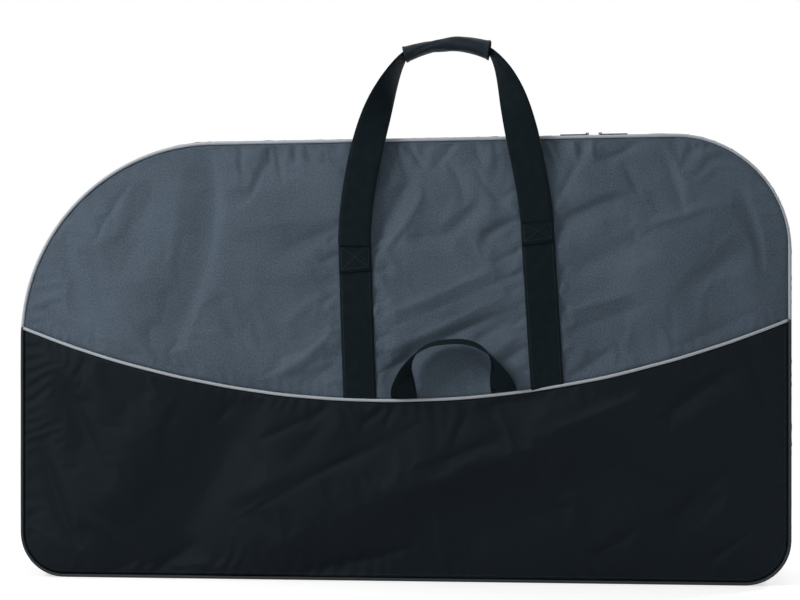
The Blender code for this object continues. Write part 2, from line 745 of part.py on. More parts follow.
def carve(name, solids, holes, frame):
    """Union of boxes with boxes cut out of it, in a slider's frame, as mesh data."""
    base = put_in(CUTTERS, name + "_base", box_mesh(name, *solids[0], frame))
    tools = []
    for operation, boxes in (("UNION", solids[1:]), ("DIFFERENCE", holes)):
        for low, high in boxes:
            tool = put_in(CUTTERS, f"{name}_tool_{len(tools)}", box_mesh(name, low, high, frame))
            tool.hide_render = True
            tool.display_type = "WIRE"
            step = base.modifiers.new(operation.lower(), "BOOLEAN")
            step.operation = operation
            step.object = tool
            tools.append(tool)
    bpy.context.view_layer.update()
    evaluated = base.evaluated_get(bpy.context.evaluated_depsgraph_get())
    mesh = bpy.data.meshes.new_from_object(evaluated)
    for helper in [base] + tools:
        bpy.data.objects.remove(helper, do_unlink=True)
    return mesh


def make_slider(name, x):
    """Zip slider: a plate above and below the tapes, a bridge between and an eye on top."""
    half_length = SLIDER_LENGTH / 2
    half_width = SLIDER_WIDTH / 2
    tape_top = -SEAT_GAP
    tape_bottom = tape_top - ZIP_TAPE
    top_low = tape_top + LAYER_GAP
    top_high = top_low + SLIDER_PLATE
    bottom_high = tape_bottom - LAYER_GAP
    bottom_low = bottom_high - SLIDER_PLATE
    overlap = SLIDER_PLATE / 2
    half_bridge = SLIDER_BRIDGE / 2
    eye_high = top_high + EYE_HEIGHT
    half_eye = EYE_LENGTH / 2
    bar = SLIDER_PLATE
    solids = [
        ((-half_length, -half_width, top_low), (half_length, half_width, top_high)),
        ((-half_length, -half_width, bottom_low), (half_length, half_width, bottom_high)),
        ((-half_length / 2, -half_bridge, bottom_low + overlap),
         (half_length / 2, half_bridge, top_high - overlap)),
        ((-half_eye, -EYE_WIDTH / 2, top_high - overlap), (half_eye, EYE_WIDTH / 2, eye_high)),
    ]
    holes = [((-half_eye + bar, -EYE_WIDTH, top_high), (half_eye - bar, EYE_WIDTH, eye_high - bar))]
    frame = slider_frame(x)
    pivot = add_pivot(name + "_runner", frame.translation, (1.0, 0.0, TOP_RISE))
    add_part(name, carve(name, solids, holes, frame), SLIDER_METAL, pivot)
    return frame, top_high, eye_high, pivot


def make_pull(name, frame, top_high, eye_high, heading, runner):
    """Pull tab: a flat bar with a slot, whose short end rod lies in the slider's eye."""
    middle = (top_high + eye_high - SLIDER_PLATE) / 2
    low_z = middle - PULL_THICKNESS / 2
    high_z = middle + PULL_THICKNESS / 2
    half_width = PULL_WIDTH / 2
    rod = EYE_LENGTH / 2 - SLIDER_PLATE - SEAT_GAP
    side_y = EYE_WIDTH / 2 + LAYER_GAP
    solids = [((-rod, -half_width, low_z), (PULL_LENGTH, half_width, high_z))]
    holes = [((rod, -side_y, low_z - PULL_THICKNESS),
              (PULL_SLOT_LENGTH, side_y, high_z + PULL_THICKNESS))]
    turned = frame if heading > 0 else frame @ Matrix.Rotation(math.pi, 4, "Z")
    centre = frame @ Vector((0.0, 0.0, middle))
    pivot = add_pivot(name + "_pin", centre, (0.0, 1.0, 0.0), runner)
    add_part(name, carve(name, solids, holes, turned), SLIDER_METAL, pivot)
    return centre


def make_zip_pair():
    """Two sliders that meet on the top edge, each with its pull."""
    half = SLIDER_SPACING / 2
    for side, heading in (("left", -1), ("right", 1)):
        x = SLIDER_MEETING_X + heading * half
        frame, top_high, eye_high, runner = make_slider("slider_" + side, x)
        make_pull("pull_" + side, frame, top_high, eye_high, heading, runner)


# Wheel pockets.

def pocket_outline(margin, top):
    """Closed outline of a pocket: straight top, large rounds below."""
    left = POCKET_CENTRE_X - POCKET_LENGTH / 2 + margin
    right = POCKET_CENTRE_X + POCKET_LENGTH / 2 - margin
    low = POCKET_FLOOR + margin
    radius = POCKET_RADIUS - margin
    path = [(left, top)]
    path += corner_points((left, low), (0.0, -1.0), (1.0, 0.0), radius, ARC_STEPS_SMALL)
    path += corner_points((right, low), (1.0, 0.0), (0.0, 1.0), radius, ARC_STEPS_SMALL)
    path.append((right, top))
    return path


def prism(name, outline, y_start, y_end):
    """Solid between two planes of constant y, from an outline in x and z."""
    bm = bmesh.new()
    face = bm.faces.new([bm.verts.new((x, y_start, z)) for x, z in outline])
    grown = bmesh.ops.extrude_face_region(bm, geom=[face])["geom"]
    new_verts = [item for item in grown if isinstance(item, bmesh.types.BMVert)]
    bmesh.ops.translate(bm, verts=new_verts, vec=(0.0, y_end - y_start, 0.0))
    bmesh.ops.recalc_face_normals(bm, faces=bm.faces[:])
    return mesh_from(bm, name)


def make_pocket(name, side, parent):
    """Open-topped pocket whose back is the lining: a face with walls round three sides."""
    top = POCKET_FLOOR + POCKET_HEIGHT
    near = side * (HALF_DEPTH - INNER_FACE - POCKET_GAP)
    far = near - side * POCKET_DEPTH
    body = put_in(CUTTERS, name + "_body", prism(name, pocket_outline(0.0, top), near, far))
    hollow = put_in(CUTTERS, name + "_hollow",
                    prism(name, pocket_outline(CLOTH, top + POCKET_DEPTH),
                          near + side * POCKET_DEPTH, far + side * CLOTH))
    hollow.hide_render = True
    hollow.display_type = "WIRE"
    cut = body.modifiers.new("hollow", "BOOLEAN")
    cut.operation = "DIFFERENCE"
    cut.object = hollow
    bpy.context.view_layer.update()
    mesh = bpy.data.meshes.new_from_object(
        body.evaluated_get(bpy.context.evaluated_depsgraph_get()))
    bpy.data.objects.remove(body, do_unlink=True)
    bpy.data.objects.remove(hollow, do_unlink=True)
    bm = bmesh.new()
    bm.from_mesh(mesh)
    cut_by_grid(bm)
    bmesh.ops.triangulate(bm, faces=bm.faces[:])
    for vertex in bm.verts:
        vertex.co.y += side * crown(vertex.co.x, vertex.co.z)
    return add_part(name, mesh_from(bm, name), LINING_BLACK, parent)


def main():
    """Build every piece of the bag."""
    door = add_pivot("door_pivot", (0.0, -HALF_DEPTH, PIPING_INSET))
    make_wall("front", FRONT, door)
    make_wall("rear", REAR, None)
    make_side_wall(door)
    make_base_board()
    make_pocket("front_wheel_pocket", FRONT, door)
    make_pocket("rear_wheel_pocket", REAR, None)
    front = make_carry_handle("front", FRONT, door)
    rear = make_carry_handle("rear", REAR, None)
    grab_middle, grab_along = make_grab_handle(door)
    make_zip_pair()
    print("door hinge", 0.0, -HALF_DEPTH, PIPING_INSET)
    print("front handle hinge", tuple(front.left), tuple(front.right), tuple(front.along))
    print("rear handle hinge", tuple(rear.left), tuple(rear.right), tuple(rear.along))
    print("grab handle hinge", tuple(grab_middle), tuple(grab_along))


main()
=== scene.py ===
"""Looks of the bike travel bag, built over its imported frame.

Metres, +Z up, the front faces -Y. Every sub-assembly is a class that builds its pieces.
"""
from __future__ import annotations

import json
import logging
import math
import random
from dataclasses import dataclass, field
from enum import Enum
from typing import Iterable, Sequence

import bmesh
import bpy
import numpy as np
from mathutils import Matrix, Vector, geometry, noise
from mathutils.bvhtree import BVHTree

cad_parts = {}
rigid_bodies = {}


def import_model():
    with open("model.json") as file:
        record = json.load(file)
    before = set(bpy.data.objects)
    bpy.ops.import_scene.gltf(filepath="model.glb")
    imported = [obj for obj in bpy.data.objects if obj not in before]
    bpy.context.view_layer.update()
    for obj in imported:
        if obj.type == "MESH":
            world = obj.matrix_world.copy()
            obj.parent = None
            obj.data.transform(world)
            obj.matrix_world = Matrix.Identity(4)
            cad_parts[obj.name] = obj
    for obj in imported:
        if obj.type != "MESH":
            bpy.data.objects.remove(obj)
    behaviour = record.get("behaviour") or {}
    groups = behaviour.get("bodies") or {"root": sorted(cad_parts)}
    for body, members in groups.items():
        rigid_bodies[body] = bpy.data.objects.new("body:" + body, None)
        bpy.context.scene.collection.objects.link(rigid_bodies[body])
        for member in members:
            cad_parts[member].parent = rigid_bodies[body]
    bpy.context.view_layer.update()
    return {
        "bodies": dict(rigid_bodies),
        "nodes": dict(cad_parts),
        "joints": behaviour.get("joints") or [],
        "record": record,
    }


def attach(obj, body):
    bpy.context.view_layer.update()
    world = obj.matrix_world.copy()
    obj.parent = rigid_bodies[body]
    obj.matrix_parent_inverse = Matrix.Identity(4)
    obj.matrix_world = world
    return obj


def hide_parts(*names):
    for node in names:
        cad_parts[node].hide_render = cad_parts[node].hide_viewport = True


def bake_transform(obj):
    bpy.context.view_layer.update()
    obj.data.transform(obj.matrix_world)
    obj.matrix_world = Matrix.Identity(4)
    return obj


LOG = logging.getLogger("bike_travel_bag")
MM = 0.001
CM = 0.01
CUT_MAP = "cut"
DEPTH = np.array([0.0, 1.0, 0.0])

Point = Sequence[float]
Tree = bpy.types.NodeTree
Socket = bpy.types.NodeSocket
Value = Socket | float


class Side(Enum):
    """Which of the two large walls a piece belongs to; the value is the sign of Y."""

    FRONT = -1
    REAR = 1

    @property
    def prefix(self) -> str:
        """First word of the names of the pieces on this wall."""
        return self.name.lower()

    @property
    def body(self) -> str:
        """Body that carries this wall."""
        return "door" if self is Side.FRONT else "bag"


class Bead(Enum):
    """Small shape that a row repeats."""

    STITCH = "stitch"
    TOOTH = "tooth"


# Colours and shader nodes.

def linear(hex_colour: str) -> tuple[float, float, float, float]:
    """Turn an sRGB hex colour into linear values.

    Args:
        hex_colour: six hex digits after a hash.

    Returns:
        Red, green, blue and an alpha of 1.
    """
    channels = [int(hex_colour[start:start + 2], 16) / 255.0 for start in (1, 3, 5)]
    lights = [value / 12.92 if value <= 0.04045 else ((value + 0.055) / 1.055) ** 2.4
              for value in channels]
    return (*lights, 1.0)


def add_node(tree: Tree, kind: str, values: dict | None = None,
             settings: dict | None = None) -> bpy.types.Node:
    """Add one node with its settings, its numbers and its links.

    Args:
        tree: node tree of a material, a world or a modifier.
        kind: type name of the node.
        values: input name or number to a plain value or an output socket.
        settings: attribute name to value.

    Returns:
        The new node.
    """
    node = tree.nodes.new(kind)
    for name, value in (settings or {}).items():
        setattr(node, name, value)
    for key, value in (values or {}).items():
        socket = node.inputs[key]
        if isinstance(value, Socket):
            tree.links.new(value, socket)
        else:
            socket.default_value = value
    return node


def math_node(tree: Tree, operation: str, first: Value, second: Value = 0.0) -> Socket:
    """Add a Math node on two numbers or sockets and return its output."""
    return add_node(tree, "ShaderNodeMath", {0: first, 1: second},
                    {"operation": operation}).outputs[0]


def noise_node(tree: Tree, place: Socket, scale: float, detail: float, roughness: float,
               distortion: float = 0.0) -> Socket:
    """Add a Noise Texture at a place and return its value."""
    return add_node(tree, "ShaderNodeTexNoise", {
        "Vector": place, "Scale": scale, "Detail": detail, "Roughness": roughness,
        "Distortion": distortion}).outputs[0]


def raise_surface(tree: Tree, shader: bpy.types.Node, *reliefs: tuple[Socket, float]) -> None:
    """Add a Bump node for each relief, one on the other, and link them to a shader.

    Args:
        tree: the material's node tree.
        shader: its Principled shader.
        reliefs: height from 0 to 1 and its distance in metres, the finest first.
    """
    under = {}
    for height, distance in reliefs:
        bump = add_node(tree, "ShaderNodeBump", {
            "Height": height, "Distance": distance, "Strength": 1.0, **under})
        under = {"Normal": bump.outputs[0]}
    tree.links.new(under["Normal"], shader.inputs["Normal"])


def mix_colours(tree: Tree, shader: bpy.types.Node, share: Socket, colours: Iterable[str]) -> None:
    """Mix two hex colours by a share and link them to a shader's base colour."""
    first, second = (linear(colour) for colour in colours)
    mixed = add_node(tree, "ShaderNodeMix", {"Factor": share, "A": first, "B": second},
                     {"data_type": "RGBA"})
    tree.links.new(mixed.outputs["Result"], shader.inputs["Base Color"])


@dataclass(frozen=True)
class Finish:
    """What a piece is made of; the subclasses add its pattern."""

    name: str
    colour: str
    roughness: float
    specular: float = 0.5
    sheen: float = 0.0
    shine_tint: str = "#FFFFFF"
    slot: str = ""

    def paint(self, tree: Tree, shader: bpy.types.Node) -> None:
        """Add the pattern of this finish; a plain finish has none."""

    def build(self) -> bpy.types.Material:
        """Return the material, made once and then shared."""
        known = bpy.data.materials.get(self.name)
        if known is not None:
            return known
        material = bpy.data.materials.new(self.name)
        material.use_nodes = True
        tree = material.node_tree
        tree.nodes.clear()
        shader = add_node(tree, "ShaderNodeBsdfPrincipled", {
            "Base Color": linear(self.colour), "Roughness": self.roughness,
            "Specular IOR Level": self.specular, "Sheen Weight": self.sheen,
            "Specular Tint": linear(self.shine_tint)})
        add_node(tree, "ShaderNodeOutputMaterial", {"Surface": shader.outputs[0]})
        self.paint(tree, shader)
        return material


def cut_coordinates(tree: Tree) -> tuple[Socket, Socket, Socket]:
    """Read a piece's place on its flat cut in metres: along it, across it, and both."""
    place = add_node(tree, "ShaderNodeUVMap", settings={"uv_map": CUT_MAP}).outputs[0]
    parts = add_node(tree, "ShaderNodeSeparateXYZ", {0: place})
    return parts.outputs[0], parts.outputs[1], place


def ripple(tree: Tree, place: Socket, period: float) -> Socket:
    """Sine of a coordinate, from -1 to 1, with a period in metres."""
    turned = math_node(tree, "MULTIPLY", place, 2.0 * math.pi / period)
    return math_node(tree, "SINE", turned)


@dataclass(frozen=True)
class WovenCloth(Finish):
    """Plain-woven polyester or nylon: a fine checker of warp and weft with a soft sheen."""

    second_colour: str = "#808080"
    thread: float = 1.3 * MM
    weave_depth: float = 0.10 * MM
    wrinkle_size: float = 38.0 * MM
    wrinkle_depth: float = 0.9 * MM

    def paint(self, tree: Tree, shader: bpy.types.Node) -> None:
        """Add heathered colour, the weave and the smallest wrinkles.

        Args:
            tree: the material's node tree.
            shader: its Principled shader.
        """
        along, across, place = cut_coordinates(tree)
        grain = noise_node(tree, place, 0.45 / self.thread, 3.0, 0.65)
        mottle = noise_node(tree, place, 9.0, 3.0, 0.5)
        mixed = math_node(tree, "ADD", math_node(tree, "MULTIPLY", grain, 0.7),
                          math_node(tree, "MULTIPLY", mottle, 0.3))
        ramp = add_node(tree, "ShaderNodeMapRange", {
            "Value": mixed, "From Min": 0.34, "From Max": 0.66})
        mix_colours(tree, shader, ramp.outputs[0], (self.colour, self.second_colour))
        weave = math_node(tree, "MULTIPLY", ripple(tree, along, self.thread),
                          ripple(tree, across, self.thread))
        wrinkles = noise_node(tree, place, 1.0 / self.wrinkle_size, 2.0, 0.45, 0.6)
        raise_surface(tree, shader, (weave, self.weave_depth), (wrinkles, self.wrinkle_depth))


@dataclass(frozen=True)
class RibbedWebbing(Finish):
    """Heavy webbing: raised cords along its length, crossed by tight picks."""

    second_colour: str = "#202020"
    cord: float = 2.6 * MM
    pick: float = 1.7 * MM
    rib_depth: float = 0.28 * MM

    def paint(self, tree: Tree, shader: bpy.types.Node) -> None:
        """Add the ribs and the picks, a painted highlight that lightens their crowns, and wear.

        Args:
            tree: the material's node tree.
            shader: its Principled shader.
        """
        along, across, place = cut_coordinates(tree)
        cords = math_node(tree, "ABSOLUTE", ripple(tree, across, 2.0 * self.cord))
        bend = math_node(tree, "MULTIPLY", cords, self.pick / 2.0)
        picks = ripple(tree, math_node(tree, "ADD", along, bend), self.pick)
        height = math_node(tree, "ADD", cords, math_node(tree, "MULTIPLY", picks, 0.35))
        wear = noise_node(tree, place, 60.0, 2.0, 0.6)
        # Painted highlight: the colour turns lighter where the cords and picks stand high, mottled by the
        # wear noise.
        painted_highlight_and_wear = math_node(tree, "MULTIPLY", math_node(tree, "ADD", height, 0.35), wear)
        mix_colours(tree, shader, painted_highlight_and_wear, (self.colour, self.second_colour))
        raise_surface(tree, shader, (height, self.rib_depth))


@dataclass(frozen=True)
class GrainedSurface(Finish):
    """Foam, moulded board or paint: one colour with a fine irregular grain."""

    grain: float = 1.0 * MM
    grain_depth: float = 0.05 * MM

    def paint(self, tree: Tree, shader: bpy.types.Node) -> None:
        """Add the grain as a bump.

        Args:
            tree: the material's node tree.
            shader: its Principled shader.
        """
        place = add_node(tree, "ShaderNodeTexCoord").outputs["Object"]
        grain = noise_node(tree, place, 1.0 / self.grain, 2.0, 0.6)
        raise_surface(tree, shader, (grain, self.grain_depth))


# Coated woven polyester, heavy and matt: the eye sees a slate grey with a faint blue cast,
# and a sheen that lightens it where it turns away from the light.
GREY_POLYESTER = WovenCloth("Woven polyester, slate grey", "#3F4A55", 0.52, 0.22,
                            shine_tint="#D4E4F4", second_colour="#5A6774",
                            slot="grey_polyester")
# The same cloth dyed black, a little shinier because of its coating.
BLACK_POLYESTER = WovenCloth("Woven polyester, black", "#03060A", 0.48, 0.17,
                             shine_tint="#BFD6EA", second_colour="#080C10",
                             slot="black_polyester")
# Polypropylene webbing: nearly black and ribbed, with soft highlights painted on the cords' crowns.
BLACK_WEBBING = RibbedWebbing("Polypropylene webbing, black", "#060C0F", 0.58, 0.09,
                              shine_tint="#C4DCE6", second_colour="#172126",
                              slot="black_webbing")
# Soft woven nylon round the grip, a shade lighter than the webbing.
GRIP_CLOTH = WovenCloth("Woven nylon grip wrap, charcoal", "#1A2329", 0.58, 0.12,
                        second_colour="#27323A", thread=1.1 * MM, wrinkle_size=14.0 * MM,
                        wrinkle_depth=0.5 * MM, slot="grip_cloth")
# Polyester tape wrapped round a cord: pale grey, smooth and slightly satin.
LIGHT_PIPING = WovenCloth("Piping tape, light grey", "#A9AFB6", 0.52, 0.40, sheen=0.05,
                          second_colour="#B9BFC6", thread=0.9 * MM, weave_depth=0.05 * MM,
                          wrinkle_depth=0.2 * MM, slot="light_piping")
DARK_PIPING = WovenCloth("Piping tape, black", "#14181B", 0.55, 0.35, second_colour="#1C2125",
                         thread=0.9 * MM, weave_depth=0.05 * MM, wrinkle_depth=0.2 * MM,
                         slot="black_piping")
# Plain-woven nylon lining: charcoal and smooth, with small loose wrinkles.
LINING_CLOTH = WovenCloth("Nylon lining, charcoal", "#292C30", 0.52, 0.40, second_colour="#34383D",
                          thread=1.0 * MM, wrinkle_size=24.0 * MM, wrinkle_depth=0.8 * MM,
                          slot="lining")
# Closed-cell polyethylene foam: grey and dull, with a fine cellular skin.
FOAM_SHEET = GrainedSurface("Closed-cell foam, grey", "#7C7D80", 0.92, 0.15,
                            grain=1.4 * MM, grain_depth=0.25 * MM, slot="foam")
# Pressed polyethylene sheet: black with a faint pebbled grain.
STIFFENER = GrainedSurface("Pressed HDPE board, black", "#202123", 0.48, 0.45,
                           grain=2.2 * MM, grain_depth=0.12 * MM, slot="stiffener_board")
# Woven zip tape: black and flat, the finest weave on the bag.
ZIP_TAPE = WovenCloth("Woven zip tape, black", "#16181A", 0.66, 0.30, second_colour="#1E2022",
                      thread=0.8 * MM, weave_depth=0.06 * MM, wrinkle_depth=0.1 * MM,
                      slot="zip_tape")
# Nylon coil teeth: black plastic with a soft shine.
ZIP_COIL = Finish("Nylon zip coil, black", "#1A1B1D", 0.38, 0.5, slot="zip_tape")
# Die-cast zinc with black enamel: shiny on its rounded edges.
PAINTED_ZINC = GrainedSurface("Enamelled zinc, black", "#1B1C1E", 0.30, 0.55, grain=3.0 * MM,
                              grain_depth=0.02 * MM, slot="slider_metal")
# Bonded polyester thread: a shade lighter than the cloth that it holds.
DARK_THREAD = Finish("Bonded thread, black", "#171D21", 0.50, 0.30)
GREY_THREAD = Finish("Bonded thread, grey", "#47515B", 0.50, 0.35)
# Painted studio floor, pale and matt.
STUDIO_FLOOR = Finish("Studio floor, pale", "#D2D2D2", 0.90, 0.10)


# Meshes and objects.

def add_object(name: str, data: bpy.types.ID) -> bpy.types.Object:
    """Put an object with its data in the scene."""
    thing = bpy.data.objects.new(name, data)
    bpy.context.collection.objects.link(thing)
    return thing


def finished_piece(mesh: bpy.types.Mesh, finish: Finish, body: str = "", node: str = "") -> bpy.types.Object:
    """Put a mesh in the scene as a smooth-shaded piece, under the mesh's name.

    Args:
        mesh: its mesh, in the row frame.
        finish: what it is made of.
        body: the body that it rides on, if it rides on one.
        node: the solid that it stands for, if it stands for one.

    Returns:
        The new object.
    """
    mesh.materials.clear()
    mesh.materials.append(finish.build())
    mesh.shade_smooth()
    piece = add_object(mesh.name, mesh)
    if node:
        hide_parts(node)
    if body:
        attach(piece, body)
    return piece


def thicken(piece: bpy.types.Object, thickness: float) -> None:
    """Give a sheet its thickness, turned inwards from its shown face."""
    wall = piece.modifiers.new("cloth_thickness", "SOLIDIFY")
    wall.thickness = thickness
    wall.offset = -1.0
    wall.use_even_offset = False


def sheet_mesh(name: str, places: np.ndarray, faces: Iterable[Sequence[int]],
               cut: np.ndarray) -> bpy.types.Mesh:
    """Make mesh data with the flat cut of the cloth as its UV map.

    Args:
        name: name of the mesh.
        places: vertex places, three numbers each.
        faces: vertex numbers of each face.
        cut: place of each vertex on the flat cut, in metres.

    Returns:
        The mesh.
    """
    mesh = bpy.data.meshes.new(name)
    mesh.from_pydata([tuple(place) for place in places.tolist()], [], [tuple(f) for f in faces])
    layer = mesh.uv_layers.new(name=CUT_MAP)
    corners = np.empty(len(mesh.loops), dtype=np.int32)
    mesh.loops.foreach_get("vertex_index", corners)
    layer.data.foreach_set("uv", cut[corners].astype(np.float32).ravel())
    mesh.update()
    return mesh


def lattice_mesh(name: str, rows: np.ndarray, cut: np.ndarray, closed: bool = False,
                 capped: bool = False) -> bpy.types.Mesh:
    """Make a sheet or a tube from rows of places.

    Args:
        name: name of the mesh.
        rows: array of rows by places by three.
        cut: array of rows by places by two, the flat cut in metres.
        closed: whether each row closes on itself, as round a tube.
        capped: whether the first and last rows get an end face.

    Returns:
        The mesh.
    """
    count, width = rows.shape[:2]
    steps = width if closed else width - 1
    faces = []
    for row in range(count - 1):
        for column in range(steps):
            after = (column + 1) % width
            low, high = row * width, (row + 1) * width
            faces.append((low + column, low + after, high + after, high + column))
    if capped:
        faces.append(tuple(range(width))[::-1])
        faces.append(tuple(range((count - 1) * width, count * width)))
    return sheet_mesh(name, rows.reshape(-1, 3), faces, cut.reshape(-1, 2))


def face_outwards(mesh: bpy.types.Mesh, outward: Point | None = None,
                  merge: bool = False) -> None:
    """Turn a mesh's faces outwards.

    Args:
        mesh: the mesh.
        outward: direction that an open sheet's faces look in; None for a closed shell.
        merge: whether points in one place become one first.
    """
    bm = bmesh.new()
    bm.from_mesh(mesh)
    if merge:
        bmesh.ops.remove_doubles(bm, verts=bm.verts[:], dist=1e-6)
    bmesh.ops.recalc_face_normals(bm, faces=bm.faces[:])
    if outward is not None:
        looking = sum(face.normal.dot(Vector(outward)) * face.calc_area() for face in bm.faces)
        if looking < 0.0:
            bmesh.ops.reverse_faces(bm, faces=bm.faces[:])
    bm.to_mesh(mesh)
    bm.free()


def unit(rows: np.ndarray) -> np.ndarray:
    """Give every row a length of 1."""
    return rows / np.linalg.norm(rows, axis=-1, keepdims=True)


def square_to(rows: np.ndarray, ahead: np.ndarray) -> np.ndarray:
    """Turn each row square to its direction ahead, with a length of 1."""
    share = np.sum(rows * ahead, axis=1) / np.sum(ahead * ahead, axis=1)
    return unit(rows - ahead * share[:, None])


def in_space(flat: np.ndarray, depth: np.ndarray | float) -> np.ndarray:
    """Put points that are given in x and z at one y, or each at its own."""
    return np.insert(flat, 1, depth, axis=1)


def lengths_along(path: np.ndarray) -> np.ndarray:
    """Distance along a path at each of its points, from 0."""
    steps = np.linalg.norm(np.diff(path, axis=0), axis=1)
    return np.concatenate([[0.0], np.cumsum(steps)])


def flat_cut(along: np.ndarray, across: np.ndarray) -> np.ndarray:
    """Places on a flat cut, for each length along it a row of the lengths across it."""
    return np.stack(np.meshgrid(along, across, indexing="ij"), axis=2)


def held_ends(rows: np.ndarray, count: int) -> np.ndarray:
    """Repeat the first and the last row some more times."""
    return np.concatenate([rows[:1]] * count + [rows] + [rows[-1:]] * count)


def resample(path: np.ndarray, spacing: float) -> np.ndarray:
    """Place points evenly along a path.

    Args:
        path: points of the path.
        spacing: wanted distance between points.

    Returns:
        The new points, with both ends kept.
    """
    along = lengths_along(path)
    count = max(2, int(round(along[-1] / spacing)) + 1)
    wanted = np.linspace(0.0, along[-1], count)
    return np.stack([np.interp(wanted, along, path[:, axis]) for axis in range(path.shape[1])],
                    axis=1)


def softened(values: np.ndarray, rounds: int) -> np.ndarray:
    """Average values with their neighbours along a path, the ends kept.

    Args:
        values: one number for each point.
        rounds: how many times.

    Returns:
        The smoother values.
    """
    result = values.copy()
    for _ in range(rounds):
        result[1:-1] = (result[:-2] + 2.0 * result[1:-1] + result[2:]) / 4.0
    return result


def gentle(value: np.ndarray | float, low: float, high: float) -> np.ndarray | float:
    """Share that rises gently from 0 where a value is low to 1 where it is high."""
    share = np.clip((value - low) / (high - low), 0.0, 1.0)
    return share * share * (3.0 - 2.0 * share)


def bell(value: np.ndarray, reach: float) -> np.ndarray:
    """Share that is 1 at zero and dies away over a reach on both sides."""
    return np.exp(-(value / reach) ** 2)


def signed_power(value: np.ndarray, power: float) -> np.ndarray:
    """Raise numbers to a power and keep their signs."""
    return np.sign(value) * np.abs(value) ** power


def waves(places: np.ndarray, size: float, height: float, seed: float) -> np.ndarray:
    """Smooth irregular heights from Blender's own noise.

    Args:
        places: points, two or three numbers each.
        size: distance over which the heights change, in metres.
        height: largest height.
        seed: which of many such patterns.

    Returns:
        One height for each point.
    """
    spread = np.zeros((len(places), 3))
    spread[:, :places.shape[1]] = places / size
    spread[:, 2] += seed
    return np.array([noise.noise(Vector(place)) for place in spread]) * height


def rope_mesh(name: str, path: np.ndarray, radius: float, sides: int = 10) -> bpy.types.Mesh:
    """Make a round cord along a path.

    Args:
        name: name of the mesh.
        path: points of its centre line.
        radius: of the cord.
        sides: of its section.

    Returns:
        The mesh, capped at both ends.
    """
    ahead = unit(np.gradient(path, axis=0))
    depth = square_to(np.tile(DEPTH, (len(path), 1)), ahead)
    up = np.cross(ahead, depth)
    angles = np.linspace(0.0, 2.0 * math.pi, sides, endpoint=False)
    rows = path[:, None] + radius * (np.cos(angles)[:, None] * depth[:, None]
                                     + np.sin(angles)[:, None] * up[:, None])
    mesh = lattice_mesh(name, rows, flat_cut(lengths_along(path), angles * radius),
                        closed=True, capped=True)
    face_outwards(mesh)
    return mesh


# The bag's form.

